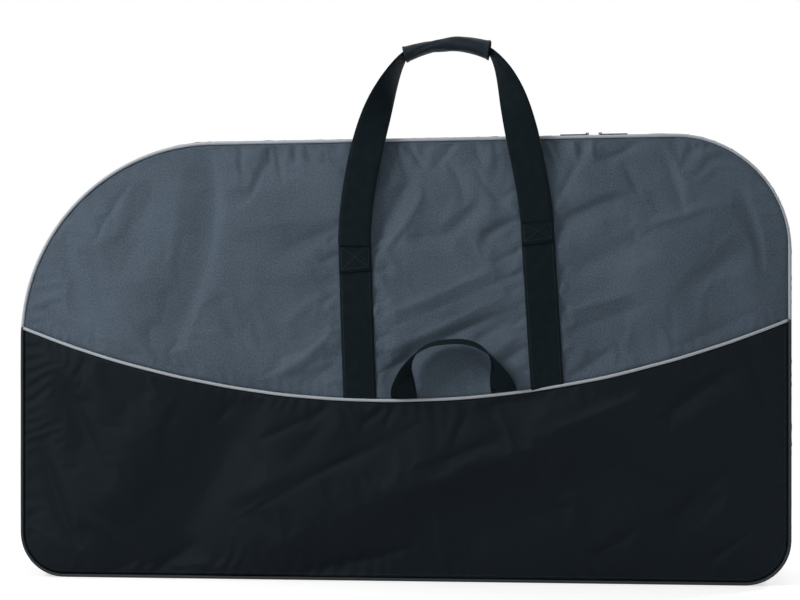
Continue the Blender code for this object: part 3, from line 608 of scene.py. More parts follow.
@dataclass(frozen=True)
class BagForm:
    """Outline, colour seam and stuffed walls of the bag, as the solids have them."""

    length: float = 1.20
    depth: float = 0.24
    top_height: float = 0.6864
    top_rise: float = 0.0100
    radius_top_left: float = 0.31
    radius_top_right: float = 0.18
    radius_bottom: float = 0.07
    crown: float = 0.018
    crown_reach: float = 0.25
    seam_height: float = 0.281
    seam_rise: float = 0.1195
    seam_middle_x: float = -0.0175
    piping_radius: float = 0.0025
    piping_inset: float = 0.0030
    base_wrap: float = 0.075

    @property
    def half_length(self) -> float:
        """Half of the bag's length."""
        return self.length / 2.0

    @property
    def half_depth(self) -> float:
        """Half of the bag's depth at its edges."""
        return self.depth / 2.0

    @property
    def panel_inset(self) -> float:
        """How far the panels' edges lie inside the outline."""
        return self.piping_inset + self.piping_radius * 0.6

    def seam(self, x: np.ndarray | float) -> np.ndarray | float:
        """Height of the colour seam at one x or at each."""
        return self.seam_height + self.seam_rise * ((x - self.seam_middle_x)
                                                    / self.half_length) ** 2

    def top_line(self, x: np.ndarray | float) -> np.ndarray | float:
        """Height of the top edge at one x or at each; it rises a little to the right."""
        return self.top_height + self.top_rise * x

    def outline(self, inset: float, spacing: float = 0.006) -> np.ndarray:
        """Closed outline from the bottom's left end, up the left end and round.

        Args:
            inset: how far it is drawn in.
            spacing: distance between its points.

        Returns:
            Points in x and z, the first not repeated at the end.
        """
        left, right = -self.half_length + inset, self.half_length - inset
        slope = math.atan(self.top_rise)
        drop = inset / math.cos(slope)
        corners = (
            ((left, inset), (-1.0, 0.0), (0.0, 1.0), self.radius_bottom),
            ((left, self.top_line(left) - drop), (0.0, 1.0), (1.0, self.top_rise),
             self.radius_top_left),
            ((right, self.top_line(right) - drop), (1.0, self.top_rise), (0.0, -1.0),
             self.radius_top_right),
            ((right, inset), (0.0, -1.0), (-1.0, 0.0), self.radius_bottom),
        )
        points: list[tuple[float, float]] = []
        for corner, arriving, leaving, radius in corners:
            points += round_corner(corner, arriving, leaving, radius - inset, spacing)
        loop = np.array(points + points[:1])
        return resample(loop, spacing)[:-1]

    def stretch(self, inset: float, left_z: float, right_z: float, upper: bool,
                spacing: float = 0.006) -> np.ndarray:
        """Part of the outline over or under a height at each end, from left to right.

        Args:
            inset: how far it is drawn in.
            left_z: height where it is split at the left end.
            right_z: height where it is split at the right end.
            upper: whether the part over the split is wanted.
            spacing: distance between its points.

        Returns:
            Points in x and z.
        """
        loop = self.outline(inset, spacing)
        split = np.where(loop[:, 0] < 0.0, left_z, right_z)
        over = loop[:, 1] - split
        inside = np.flatnonzero(over > 0.0)
        first, last = inside[0], inside[-1]
        left = np.array([[np.interp(left_z, loop[first - 1:first + 1, 1],
                                    loop[first - 1:first + 1, 0]), left_z]])
        right = np.array([[np.interp(right_z, loop[last:last + 2, 1][::-1],
                                     loop[last:last + 2, 0][::-1]), right_z]])
        if upper:
            middle = loop[first:last + 1]
        else:
            middle = np.concatenate([loop[:first][::-1], loop[last + 1:][::-1]])
        return np.concatenate([left, middle, right])

    def ring(self, inset: float, upper: bool) -> np.ndarray:
        """Part of the outline over or under the colour seam."""
        reach = self.half_length - inset
        return self.stretch(inset, float(self.seam(-reach)), float(self.seam(reach)), upper)

    def edge_distance(self, points: np.ndarray) -> np.ndarray:
        """How far points lie inside the outline.

        Args:
            points: places in x and z.

        Returns:
            One distance for each point, 0 outside.
        """
        x, z = points[:, 0], points[:, 1]
        left, right = x + self.half_length, self.half_length - x
        top = self.top_line(x) - z
        result = np.minimum(np.minimum(left, right), np.minimum(top, z))
        for side, height, radius in ((left, top, self.radius_top_left),
                                     (right, top, self.radius_top_right),
                                     (left, z, self.radius_bottom),
                                     (right, z, self.radius_bottom)):
            near = (side < radius) & (height < radius)
            rounded = radius - np.hypot(radius - side, radius - height)
            result = np.where(near, rounded, result)
        return np.maximum(result, 0.0)

    def plain_crown(self, points: np.ndarray) -> np.ndarray:
        """How far the stuffed wall stands out at points in x and z, without folds."""
        share = np.minimum(1.0, self.edge_distance(points) / self.crown_reach)
        return self.crown * (1.0 - (1.0 - share) ** 2)


def round_corner(corner: Point, arriving: Point, leaving: Point, radius: float,
                 spacing: float) -> list[tuple[float, float]]:
    """Points of the arc that rounds a corner.

    Args:
        corner: place of the corner.
        arriving: direction of the side before it.
        leaving: direction of the side after it.
        radius: of the arc.
        spacing: distance between the points.

    Returns:
        The arc's points, from its start to its end.
    """
    before, after = Vector(arriving).normalized(), Vector(leaving).normalized()
    turn = before.angle(after)
    start = Vector(corner) - before * radius * math.tan(turn / 2.0)
    centre = Vector(corner) + (after - before).normalized() * radius / math.cos(turn / 2.0)
    sign = 1.0 if before.x * after.y - before.y * after.x > 0.0 else -1.0
    steps = max(4, int(radius * turn / spacing))
    points = []
    for step in range(steps + 1):
        spoke = Matrix.Rotation(sign * turn * step / steps, 2) @ (start - centre)
        points.append((centre.x + spoke.x, centre.y + spoke.y))
    return points


# Folds.

@dataclass(frozen=True)
class Fold:
    """One soft fold: a straight or bent stroke across a wall, in metres."""

    start: tuple[float, float]
    end: tuple[float, float]
    width: float
    height: float
    skew: float = 1.0
    bow: float = 0.0

    @classmethod
    def from_row(cls, start_x: float, start_z: float, end_x: float, end_z: float,
                 width: float, height: float, skew: float = 1.0, bow: float = 0.0) -> Fold:
        """Make a fold from places in centimetres and its other sizes in millimetres."""
        return cls((start_x * CM, start_z * CM), (end_x * CM, end_z * CM), width * MM,
                   height * MM, skew, bow * MM)

    def heights(self, points: np.ndarray) -> np.ndarray:
        """How far the fold lifts points; a valley has a negative height.

        Args:
            points: places in x and z.

        Returns:
            One height for each point.
        """
        start, end = np.array(self.start), np.array(self.end)
        length = np.linalg.norm(end - start)
        along = (end - start) / length
        across = np.array([-along[1], along[0]])
        offset = points - start
        travel = offset @ along / length
        middle = self.bow * (1.0 - (2.0 * travel - 1.0) ** 2)
        distance = (offset @ across - middle) / self.width
        distance = np.where(distance < 0.0, distance / self.skew, distance)
        fade = gentle(travel, -0.15, 0.30) * (1.0 - gentle(travel, 0.60, 1.15))
        return self.height * fade / (1.0 + distance ** 2) ** 1.5


@dataclass(frozen=True)
class StrapPlan:
    """Where one strap is sewn to a wall, in x and z."""

    word: str
    foot_x: float
    hinge: tuple[float, float]
    patch_height: float

    def from_middle(self, form: BagForm, points: np.ndarray) -> np.ndarray:
        """Distance of points along x from the strap's centre line; far off above its top."""
        foot = float(form.seam(self.foot_x))
        share = np.clip((points[:, 1] - foot) / (self.hinge[1] - foot), 0.0, 1.0)
        away = np.abs(points[:, 0] - self.foot_x - (self.hinge[0] - self.foot_x) * share)
        sewn = (points[:, 1] > foot) & (points[:, 1] < self.hinge[1])
        return np.where(sewn, away, 1.0)


@dataclass
class WallSurface:
    """One large wall as a fine net of points, with its crown, seams and folds.

    A bulge has its size, its height, what it adds to the seed and how far in from the edge it
    reaches its full height. A groove has a depth and a reach, and gathers have a height, a
    period, a reach and how far from their seam they start. Folds start between two distances
    from the edge, and a strap holds the cloth up to between two distances from its middle.
    """

    form: BagForm
    side: Side
    folds: Sequence[Fold]
    spacing: float
    seed: float
    plans: Sequence[StrapPlan] = ()
    bulges: Sequence[Point] = ((0.16, 2.4 * MM, 0.0, 0.10), (0.060, 1.0 * MM, 7.0, 0.030))
    seam_groove: Point = (1.5 * MM, 0.0045)
    edge_groove: Point = (1.2 * MM, 0.004)
    seam_gathers: Point = (0.9 * MM, 0.021, 0.018, 0.005)
    edge_gathers: Point = (1.5 * MM, 0.024, 0.028, 0.006)
    fold_start: Point = (-0.004, 0.012)
    strap_hold: Point = (0.024, 0.030)
    points: np.ndarray = field(init=False)
    triangles: np.ndarray = field(init=False)
    heights: np.ndarray = field(init=False)
    tree: BVHTree = field(init=False)

    def __post_init__(self) -> None:
        """Cut the net, lift it, let the cloth settle and keep a search tree of it."""
        self.points, self.triangles = self.cut_net()
        self.heights = self.lift()
        if self.plans:
            self.settle()
        places = self.places(self.heights)
        self.tree = BVHTree.FromPolygons([Vector(place) for place in places],
                                         self.triangles.tolist())

    def cut_net(self) -> tuple[np.ndarray, np.ndarray]:
        """Fill the outline with an even net whose edges follow the colour seam.

        Returns:
            Points in x and z, and the vertex numbers of the triangles.
        """
        border = self.form.outline(self.form.panel_inset, self.spacing)
        left, right = border[:, 0].min(), border[:, 0].max()
        columns = np.arange(left, right + self.spacing, self.spacing)
        rise = self.spacing * math.sqrt(3.0) / 2.0
        rows = np.arange(border[:, 1].min(), border[:, 1].max() + rise, rise)
        grid_x, grid_z = np.meshgrid(columns, rows)
        grid_x = grid_x + (np.arange(len(rows)) % 2)[:, None] * self.spacing / 2.0
        inner = np.stack([grid_x.ravel(), grid_z.ravel()], axis=1)
        inner = inner[self.form.edge_distance(inner) > self.form.panel_inset
                      + 0.55 * self.spacing]
        inner = inner[np.abs(inner[:, 1] - self.form.seam(inner[:, 0])) > 0.5 * self.spacing]
        seam_x = np.arange(left + self.spacing, right - 0.5 * self.spacing, self.spacing)
        seam = np.stack([seam_x, self.form.seam(seam_x)], axis=1)
        count = len(border)
        chain = [(count + step, count + step + 1) for step in range(len(seam) - 1)]
        all_points = np.concatenate([border, seam, inner])
        result = geometry.delaunay_2d_cdt([Vector(point) for point in all_points], chain,
                                          [list(range(count))], 1, 1e-7)
        points = np.array([tuple(point) for point in result[0]])
        return points, np.array([tuple(face) for face in result[2]])

    def from_edge(self) -> np.ndarray:
        """Distance of the net's points from the wall's edge."""
        return self.form.edge_distance(self.points) - self.form.panel_inset

    def from_seam(self) -> np.ndarray:
        """Distance of the net's points from the colour seam, up or down."""
        return np.abs(self.points[:, 1] - self.form.seam(self.points[:, 0]))

    def lift(self) -> np.ndarray:
        """Heights of the net's points over the wall's edge plane."""
        points, edge, from_seam = self.points, self.from_edge(), self.from_seam()
        heights = self.relaxed(self.form.plain_crown(points), 90)
        for size, height, seed, reach in self.bulges:
            heights += waves(points, size, height, self.seed + seed) * gentle(edge, 0.0, reach)
        for fold in self.folds:
            heights += fold.heights(points) * gentle(edge, *self.fold_start)
        heights += self.puckers(edge, from_seam)
        for away, (depth, reach) in ((from_seam, self.seam_groove), (edge, self.edge_groove)):
            heights -= depth * bell(away, reach)
        return heights

    def settle(self, grow: float = 0.010, frames: int = 14, inward: float = 0.2 * MM,
               outward: float = 3.5 * MM) -> None:
        """Let the cloth settle by simulation, held at its seams, its edge and its straps.

        Args:
            grow: how much longer the cloth is than the space it is sewn into.
            frames: how many steps the simulation runs.
            inward: how far any point may move towards the foam behind.
            outward: how far any point may move away from it.
        """
        form, scene = self.form, bpy.context.scene
        mesh = bpy.data.meshes.new("settling_cloth")
        mesh.from_pydata(self.places(self.heights).tolist(), [], self.triangles.tolist())
        cloth = add_object("settling_cloth", mesh)
        straps = np.minimum(*(plan.from_middle(form, self.points) for plan in self.plans))
        near, far = 0.3 * self.spacing, 2.5 * self.spacing
        free = (gentle(self.from_edge(), near, far) * gentle(self.from_seam(), near, far)
                * gentle(straps, *self.strap_hold))
        held = cloth.vertex_groups.new(name="held")
        held.add(np.flatnonzero(free < 0.05).tolist(), 1.0, "REPLACE")
        modifier = cloth.modifiers.new("Cloth", "CLOTH")
        settings = modifier.settings
        settings.quality = 4
        settings.mass = 0.15
        settings.air_damping = 2.0
        settings.tension_stiffness = settings.compression_stiffness = 10.0
        settings.shear_stiffness = 4.0
        settings.bending_stiffness = 0.35
        settings.shrink_min = -grow
        settings.vertex_group_mass = held.name
        settings.effector_weights.gravity = 0.0
        modifier.collision_settings.use_collision = False
        modifier.point_cache.frame_start, modifier.point_cache.frame_end = 1, frames
        for frame in range(1, frames + 1):
            scene.frame_set(frame)
        result = cloth.evaluated_get(bpy.context.evaluated_depsgraph_get()).data
        places = np.empty(len(self.points) * 3)
        result.vertices.foreach_get("co", places)
        moved = self.side.value * places.reshape(-1, 3)[:, 1] - form.half_depth - self.heights
        LOG.info("%s cloth settled by %.1f mm at most", self.side.prefix,
                 np.abs(moved).max() / MM)
        self.heights += np.clip(moved, -inward, outward) * free
        scene.frame_set(1)
        bpy.data.objects.remove(cloth)
        bpy.data.meshes.remove(mesh)

    def puckers(self, edge: np.ndarray, from_seam: np.ndarray) -> np.ndarray:
        """Short gathers that the stitching draws into the cloth beside each seam.

        Args:
            edge: distance of each point from the wall's edge.
            from_seam: distance of each point from the colour seam.

        Returns:
            One height for each point.
        """
        x, z = self.points[:, 0], self.points[:, 1]
        phase = waves(self.points, 0.09, 2.6, self.seed + 3.0)
        around = np.arctan2(z - 0.34, x * 0.6) * 0.42 + x * 0.2
        strength = np.clip(0.5 + waves(self.points, 0.12, 1.0, self.seed + 5.0), 0.0, 1.0)
        result = np.zeros(len(x))
        for away, travel, shift, (height, period, reach, start) in (
                (edge, around, 3.0, self.edge_gathers), (from_seam, x, 4.0, self.seam_gathers)):
            gather = np.sin(2.0 * math.pi * travel / period + phase * shift)
            fade = bell(away, reach) * gentle(away, 0.0, start)
            result += height * gather * fade * strength
        return result

    def relaxed(self, values: np.ndarray, rounds: int) -> np.ndarray:
        """Smooth values over the net, with its border kept.

        Args:
            values: one number for each point.
            rounds: how many times each point takes its neighbours' mean.

        Returns:
            The smoother values.
        """
        pairs = self.triangle_sides()
        both = np.concatenate([pairs, pairs[:, ::-1]])
        count = np.bincount(both[:, 0], minlength=len(values))
        held = self.form.edge_distance(self.points) < self.form.panel_inset + 1e-4
        result = values.copy()
        for _ in range(rounds):
            mean = np.bincount(both[:, 0], weights=result[both[:, 1]],
                               minlength=len(values)) / count
            result = np.where(held, values, mean)
        return result

    def triangle_sides(self) -> np.ndarray:
        """Vertex numbers at the two ends of every triangle's three sides."""
        corners = self.triangles
        return np.concatenate([corners[:, [0, 1]], corners[:, [1, 2]], corners[:, [2, 0]]])

    def places(self, heights: np.ndarray, behind: float = 0.0) -> np.ndarray:
        """Put the net's points in space, at heights over the wall's edge plane."""
        return in_space(self.points,
                        self.side.value * (self.form.half_depth + heights - behind))

    def heights_at(self, flat: np.ndarray) -> np.ndarray:
        """Heights of the folded wall over its edge plane at points.

        Args:
            flat: points in x and z.

        Returns:
            The heights, with the plain crown's where the net has no face.
        """
        inward = Vector((0.0, -self.side.value, 0.0))
        hits = [self.tree.ray_cast(Vector((x, self.side.value * 0.5, z)), inward)[0]
                for x, z in flat]
        return np.array([crown if hit is None else abs(hit.y) - self.form.half_depth
                         for hit, crown in zip(hits, self.form.plain_crown(flat))])

    def laid(self, flat: np.ndarray, lift: np.ndarray | float) -> np.ndarray:
        """Lay points that are given in x and z over the folded wall, at a lift from it."""
        return in_space(flat, self.side.value * (self.form.half_depth
                                                 + self.heights_at(flat) + lift))

    def cloth(self, word: str, node: str, finish: Finish, heights: np.ndarray, behind: float,
              chosen: np.ndarray, thickness: float) -> None:
        """Make a sheet from some of the net's triangles, with its flat cut as its UV map.

        Args:
            word: middle word of the piece's name.
            node: second part of the name of the solid that it stands for.
            finish: what it is made of.
            heights: of the net's points.
            behind: how far behind the outer face the sheet lies.
            chosen: which triangles, as true and false.
            thickness: of the cloth.
        """
        prefix = self.side.prefix
        used, numbers = np.unique(self.triangles[chosen], return_inverse=True)
        mesh = sheet_mesh(f"{prefix}_{word}_cloth", self.places(heights, behind)[used],
                          numbers.reshape(-1, 3).tolist(), self.points[used])
        face_outwards(mesh, (0.0, self.side.value, 0.0))
        piece = finished_piece(mesh, finish, self.side.body, f"{prefix}_{node}")
        thicken(piece, thickness)


# Rows of small repeated shapes.

BEAD_SIZES = {Bead.STITCH: (3.2 * MM, 0.9 * MM, 0.7 * MM),
              Bead.TOOTH: (3.0 * MM, 1.35 * MM, 1.7 * MM)}
STITCH_PITCH = 4.2 * MM
STITCH_LIFT = 0.1 * MM
TOOTH_PITCH = 2.6 * MM


@dataclass(frozen=True)
class BeadRow:
    """Geometry Nodes tree that sets one small rounded shape on each point of a row."""

    bead: Bead
    finish: Finish

    def tree(self) -> Tree:
        """Build the tree, or return it if it is there.

        Returns:
            The tree, with named inputs for the bead's length, width and height.
        """
        name = f"row_of_{self.bead.value}_{self.finish.name}"
        known = bpy.data.node_groups.get(name)
        if known is not None:
            return known
        tree = bpy.data.node_groups.new(name, "GeometryNodeTree")
        face = tree.interface
        face.new_socket("Geometry", in_out="INPUT", socket_type="NodeSocketGeometry")
        for label in ("Length", "Width", "Height"):
            face.new_socket(label, in_out="INPUT", socket_type="NodeSocketFloat")
        face.new_socket("Geometry", in_out="OUTPUT", socket_type="NodeSocketGeometry")
        given = add_node(tree, "NodeGroupInput").outputs
        shape = self.shape(tree)
        size = add_node(tree, "ShaderNodeCombineXYZ", {0: given[1], 1: given[2], 2: given[3]})
        sized = add_node(tree, "GeometryNodeTransform",
                         {"Geometry": shape, "Scale": size.outputs[0]})
        turned = None
        for label, axis, pivot in (("outward", "Z", "AUTO"), ("along", "X", "Z")):
            vector = add_node(tree, "GeometryNodeInputNamedAttribute", {"Name": label},
                              {"data_type": "FLOAT_VECTOR"}).outputs[0]
            values = {"Vector": vector}
            if turned is not None:
                values["Rotation"] = turned
            turned = add_node(tree, "FunctionNodeAlignRotationToVector", values,
                              {"axis": axis, "pivot_axis": pivot}).outputs[0]
        copies = add_node(tree, "GeometryNodeInstanceOnPoints", {
            "Points": given[0], "Instance": sized.outputs[0], "Rotation": turned})
        real = add_node(tree, "GeometryNodeRealizeInstances", {0: copies.outputs[0]})
        smooth = add_node(tree, "GeometryNodeSetShadeSmooth", {0: real.outputs[0]})
        painted = add_node(tree, "GeometryNodeSetMaterial", {
            "Geometry": smooth.outputs[0], "Material": self.finish.build()})
        add_node(tree, "NodeGroupOutput", {0: painted.outputs[0]})
        return tree

    def shape(self, tree: Tree) -> Socket:
        """Add the bead's own shape, one metre across, to a tree and return its output."""
        if self.bead is Bead.STITCH:
            return add_node(tree, "GeometryNodeMeshUVSphere", {
                "Segments": 8, "Rings": 4, "Radius": 0.5}).outputs[0]
        bar = add_node(tree, "GeometryNodeMeshCylinder", {
            "Vertices": 8, "Radius": 0.5, "Depth": 1.0}, {"fill_type": "NGON"}).outputs[0]
        return add_node(tree, "GeometryNodeTransform", {
            "Geometry": bar, "Rotation": (0.0, math.pi / 2.0, 0.0)}).outputs[0]

    def lay(self, name: str, places: np.ndarray, along: np.ndarray, outward: np.ndarray,
            body: str) -> None:
        """Make a row of beads as one plain mesh.

        Args:
            name: the piece's name.
            places: middle of each bead.
            along: direction of each bead's length.
            outward: direction of each bead's height.
            body: the body that the row rides on.
        """
        base = bpy.data.meshes.new(name + "_points")
        base.from_pydata(places.tolist(), [], [])
        for label, vectors in (("along", along), ("outward", outward)):
            layer = base.attributes.new(label, "FLOAT_VECTOR", "POINT")
            layer.data.foreach_set("vector", vectors.astype(np.float32).ravel())
        holder = add_object(name + "_points", base)
        tree = self.tree()
        row = holder.modifiers.new("beads", "NODES")
        row.node_group = tree
        inputs = {item.name: item.identifier for item in tree.interface.items_tree
                  if item.in_out == "INPUT"}
        for label, value in zip(("Length", "Width", "Height"), BEAD_SIZES[self.bead]):
            row[inputs[label]] = value
        bpy.context.view_layer.update()
        evaluated = holder.evaluated_get(bpy.context.evaluated_depsgraph_get())
        mesh = bpy.data.meshes.new_from_object(evaluated)
        mesh.name = name
        bpy.data.objects.remove(holder, do_unlink=True)
        finished_piece(mesh, self.finish, body)


def row_along(path: np.ndarray, pitch: float, shift: float = 0.0) -> tuple:
    """Even places and directions along a path.

    Args:
        path: points of the path in space.
        pitch: distance between places.
        shift: how far the first place is moved along.

    Returns:
        The places and the directions of the path there.
    """
    along = lengths_along(path)
    wanted = np.arange(pitch / 2.0 + shift, along[-1] - pitch / 4.0, pitch)
    places, ahead = (np.stack([np.interp(wanted + step, along, path[:, axis])
                               for axis in range(3)], axis=1) for step in (0.0, 0.3 * MM))
    return places, unit(ahead - places)


def stitch_lines(name: str, paths: Sequence[np.ndarray], outward: Point, finish: Finish,
                 body: str) -> None:
    """Lay stitches along several paths as one piece.

    Args:
        name: the piece's name.
        paths: points of each seam line in space.
        outward: direction in which the cloth faces.
        finish: the thread.
        body: the body that the stitches ride on.
    """
    places, ahead = (np.concatenate(rows) for rows in
                     zip(*(row_along(path, STITCH_PITCH) for path in paths)))
    normals = np.tile(np.array(outward, dtype=float), (len(places), 1))
    BeadRow(Bead.STITCH, finish).lay(name, places, ahead, normals, body)


# The front and the back.

@dataclass
class PaddedWall:
    """Front or back of the bag: outer cloth, foam, lining, pipings and topstitching."""

    form: BagForm
    side: Side
    folds: Sequence[Fold]
    spacing: float
    seed: float
    plans: Sequence[StrapPlan] = ()
    foam_spacing: float = 0.009
    cloth: float = 1.2 * MM
    lining: float = 0.8 * MM
    foam_behind: float = 3.0 * MM
    lining_behind: float = 8.6 * MM
    topstitch_offset: float = 5.5 * MM
    topstitch_inset: float = 6.0 * MM
    topstitch_end: float = 12.0 * MM
    seam_cord_lift: float = 2.3 * MM
    seam_cord_end: float = 1.5 * MM
    surface: WallSurface = field(init=False)

    def build(self) -> None:
        """Make every layer of the wall and let it ride on its body."""
        self.surface = WallSurface(self.form, self.side, self.folds, self.spacing, self.seed,
                                   self.plans)
        self.outer_cloth()
        self.inner_layers()
        self.pipings()
        self.topstitching()
        LOG.info("%s wall built", self.side.prefix)

    def outer_cloth(self) -> None:
        """Make the grey and the black panel."""
        surface = self.surface
        middles = surface.points[surface.triangles].mean(axis=1)
        over = middles[:, 1] > self.form.seam(middles[:, 0])
        for word, chosen, finish in (("upper", over, GREY_POLYESTER),
                                     ("lower", ~over, BLACK_POLYESTER)):
            surface.cloth(word, f"{word}_panel", finish, surface.heights, 0.0, chosen,
                          self.cloth)

    def inner_layers(self) -> None:
        """Make the foam and the lining behind the panels."""
        net = WallSurface(self.form, self.side, self.folds, self.foam_spacing, self.seed)
        smooth = net.relaxed(net.heights, 25)
        foam = finished_piece(self.slab(net, smooth), FOAM_SHEET, self.side.body,
                              f"{self.side.prefix}_padding")
        wrinkled = smooth + waves(net.points, 0.05, 0.5 * MM, self.seed + 11.0)
        net.cloth("lining", "lining", LINING_CLOTH, wrinkled, self.lining_behind,
                  np.ones(len(net.triangles), dtype=bool), self.lining)

    def slab(self, net: WallSurface, smooth: np.ndarray) -> bpy.types.Mesh:
        """Close the foam between the cloth in front and the lining behind.

        Args:
            net: the net that both of its faces follow.
            smooth: heights of its inner face.

        Returns:
            The closed mesh.
        """
        outer = net.places(net.heights, self.foam_behind)
        inner = net.places(smooth, self.lining_behind - self.lining / 2.0)
        count = len(outer)
        known = {tuple(edge) for edge in net.triangle_sides().tolist()}
        faces = net.triangles.tolist() + (net.triangles[:, ::-1] + count).tolist()
        faces += [(b, a, a + count, b + count) for a, b in known if (b, a) not in known]
        mesh = sheet_mesh(f"{self.side.prefix}_foam_sheet", np.concatenate([outer, inner]),
                          faces, np.concatenate([net.points] * 2))
        face_outwards(mesh)
        return mesh

    def pipings(self) -> None:
        """Make the piping of the colour seam, the upper edge and the hem."""
        prefix, form = self.side.prefix, self.form
        reach = form.half_length - form.panel_inset - self.seam_cord_end
        x = np.linspace(-reach, reach, 260)
        drift = waves(x[:, None] * np.array([[1.0, 0.0]]), 0.07, 0.7 * MM, self.seed + 2.0)
        flat = np.stack([x, form.seam(x) + drift], axis=1)
        lift = softened(self.surface.heights_at(flat), 12) + self.seam_cord_lift
        lift[[0, -1]] = 0.5 * MM
        lines = [("seam", flat, lift, LIGHT_PIPING)]
        for word, upper, finish in (("edge", True, LIGHT_PIPING), ("hem", False, DARK_PIPING)):
            ring = form.ring(form.piping_inset, upper)
            lines.append((word, ring, waves(ring, 0.05, 0.6 * MM, self.seed + 4.0), finish))
        for word, flat, lift, finish in lines:
            path = in_space(flat, self.side.value * (form.half_depth + lift))
            mesh = rope_mesh(f"{prefix}_{word}_cord", resample(path, 0.005),
                             form.piping_radius)
            finished_piece(mesh, finish, self.side.body, f"{prefix}_{word}_piping")

    def topstitching(self) -> None:
        """Lay a row of stitches beside the colour seam and inside the edge piping."""
        form = self.form
        reach = form.half_length - self.topstitch_end
        x = np.linspace(-reach, reach, 320)
        for word, sign, finish, slot in (("upper", 1.0, GREY_THREAD, "grey_polyester"),
                                         ("lower", -1.0, DARK_THREAD, "black_polyester")):
            beside = np.stack([x, form.seam(x) + sign * self.topstitch_offset], axis=1)
            ring = form.ring(form.panel_inset + self.topstitch_inset, word == "upper")
            paths = [self.surface.laid(line, STITCH_LIFT) for line in (beside, ring)]
            stitch_lines(f"{self.side.prefix}_{word}_topstitch", paths,
                         (0.0, self.side.value, 0.0), finish, self.side.body)


# Side wall, zip and base.

@dataclass(frozen=True)
class Strip:
    """Plan of one strip of cloth or foam that follows the bag's outline."""

    name: str
    finish: Finish
    node: str
    body: str
    inset: float
    span: tuple[float, float]
    thickness: float
    bulge: float = 0.0
    upper: bool = True


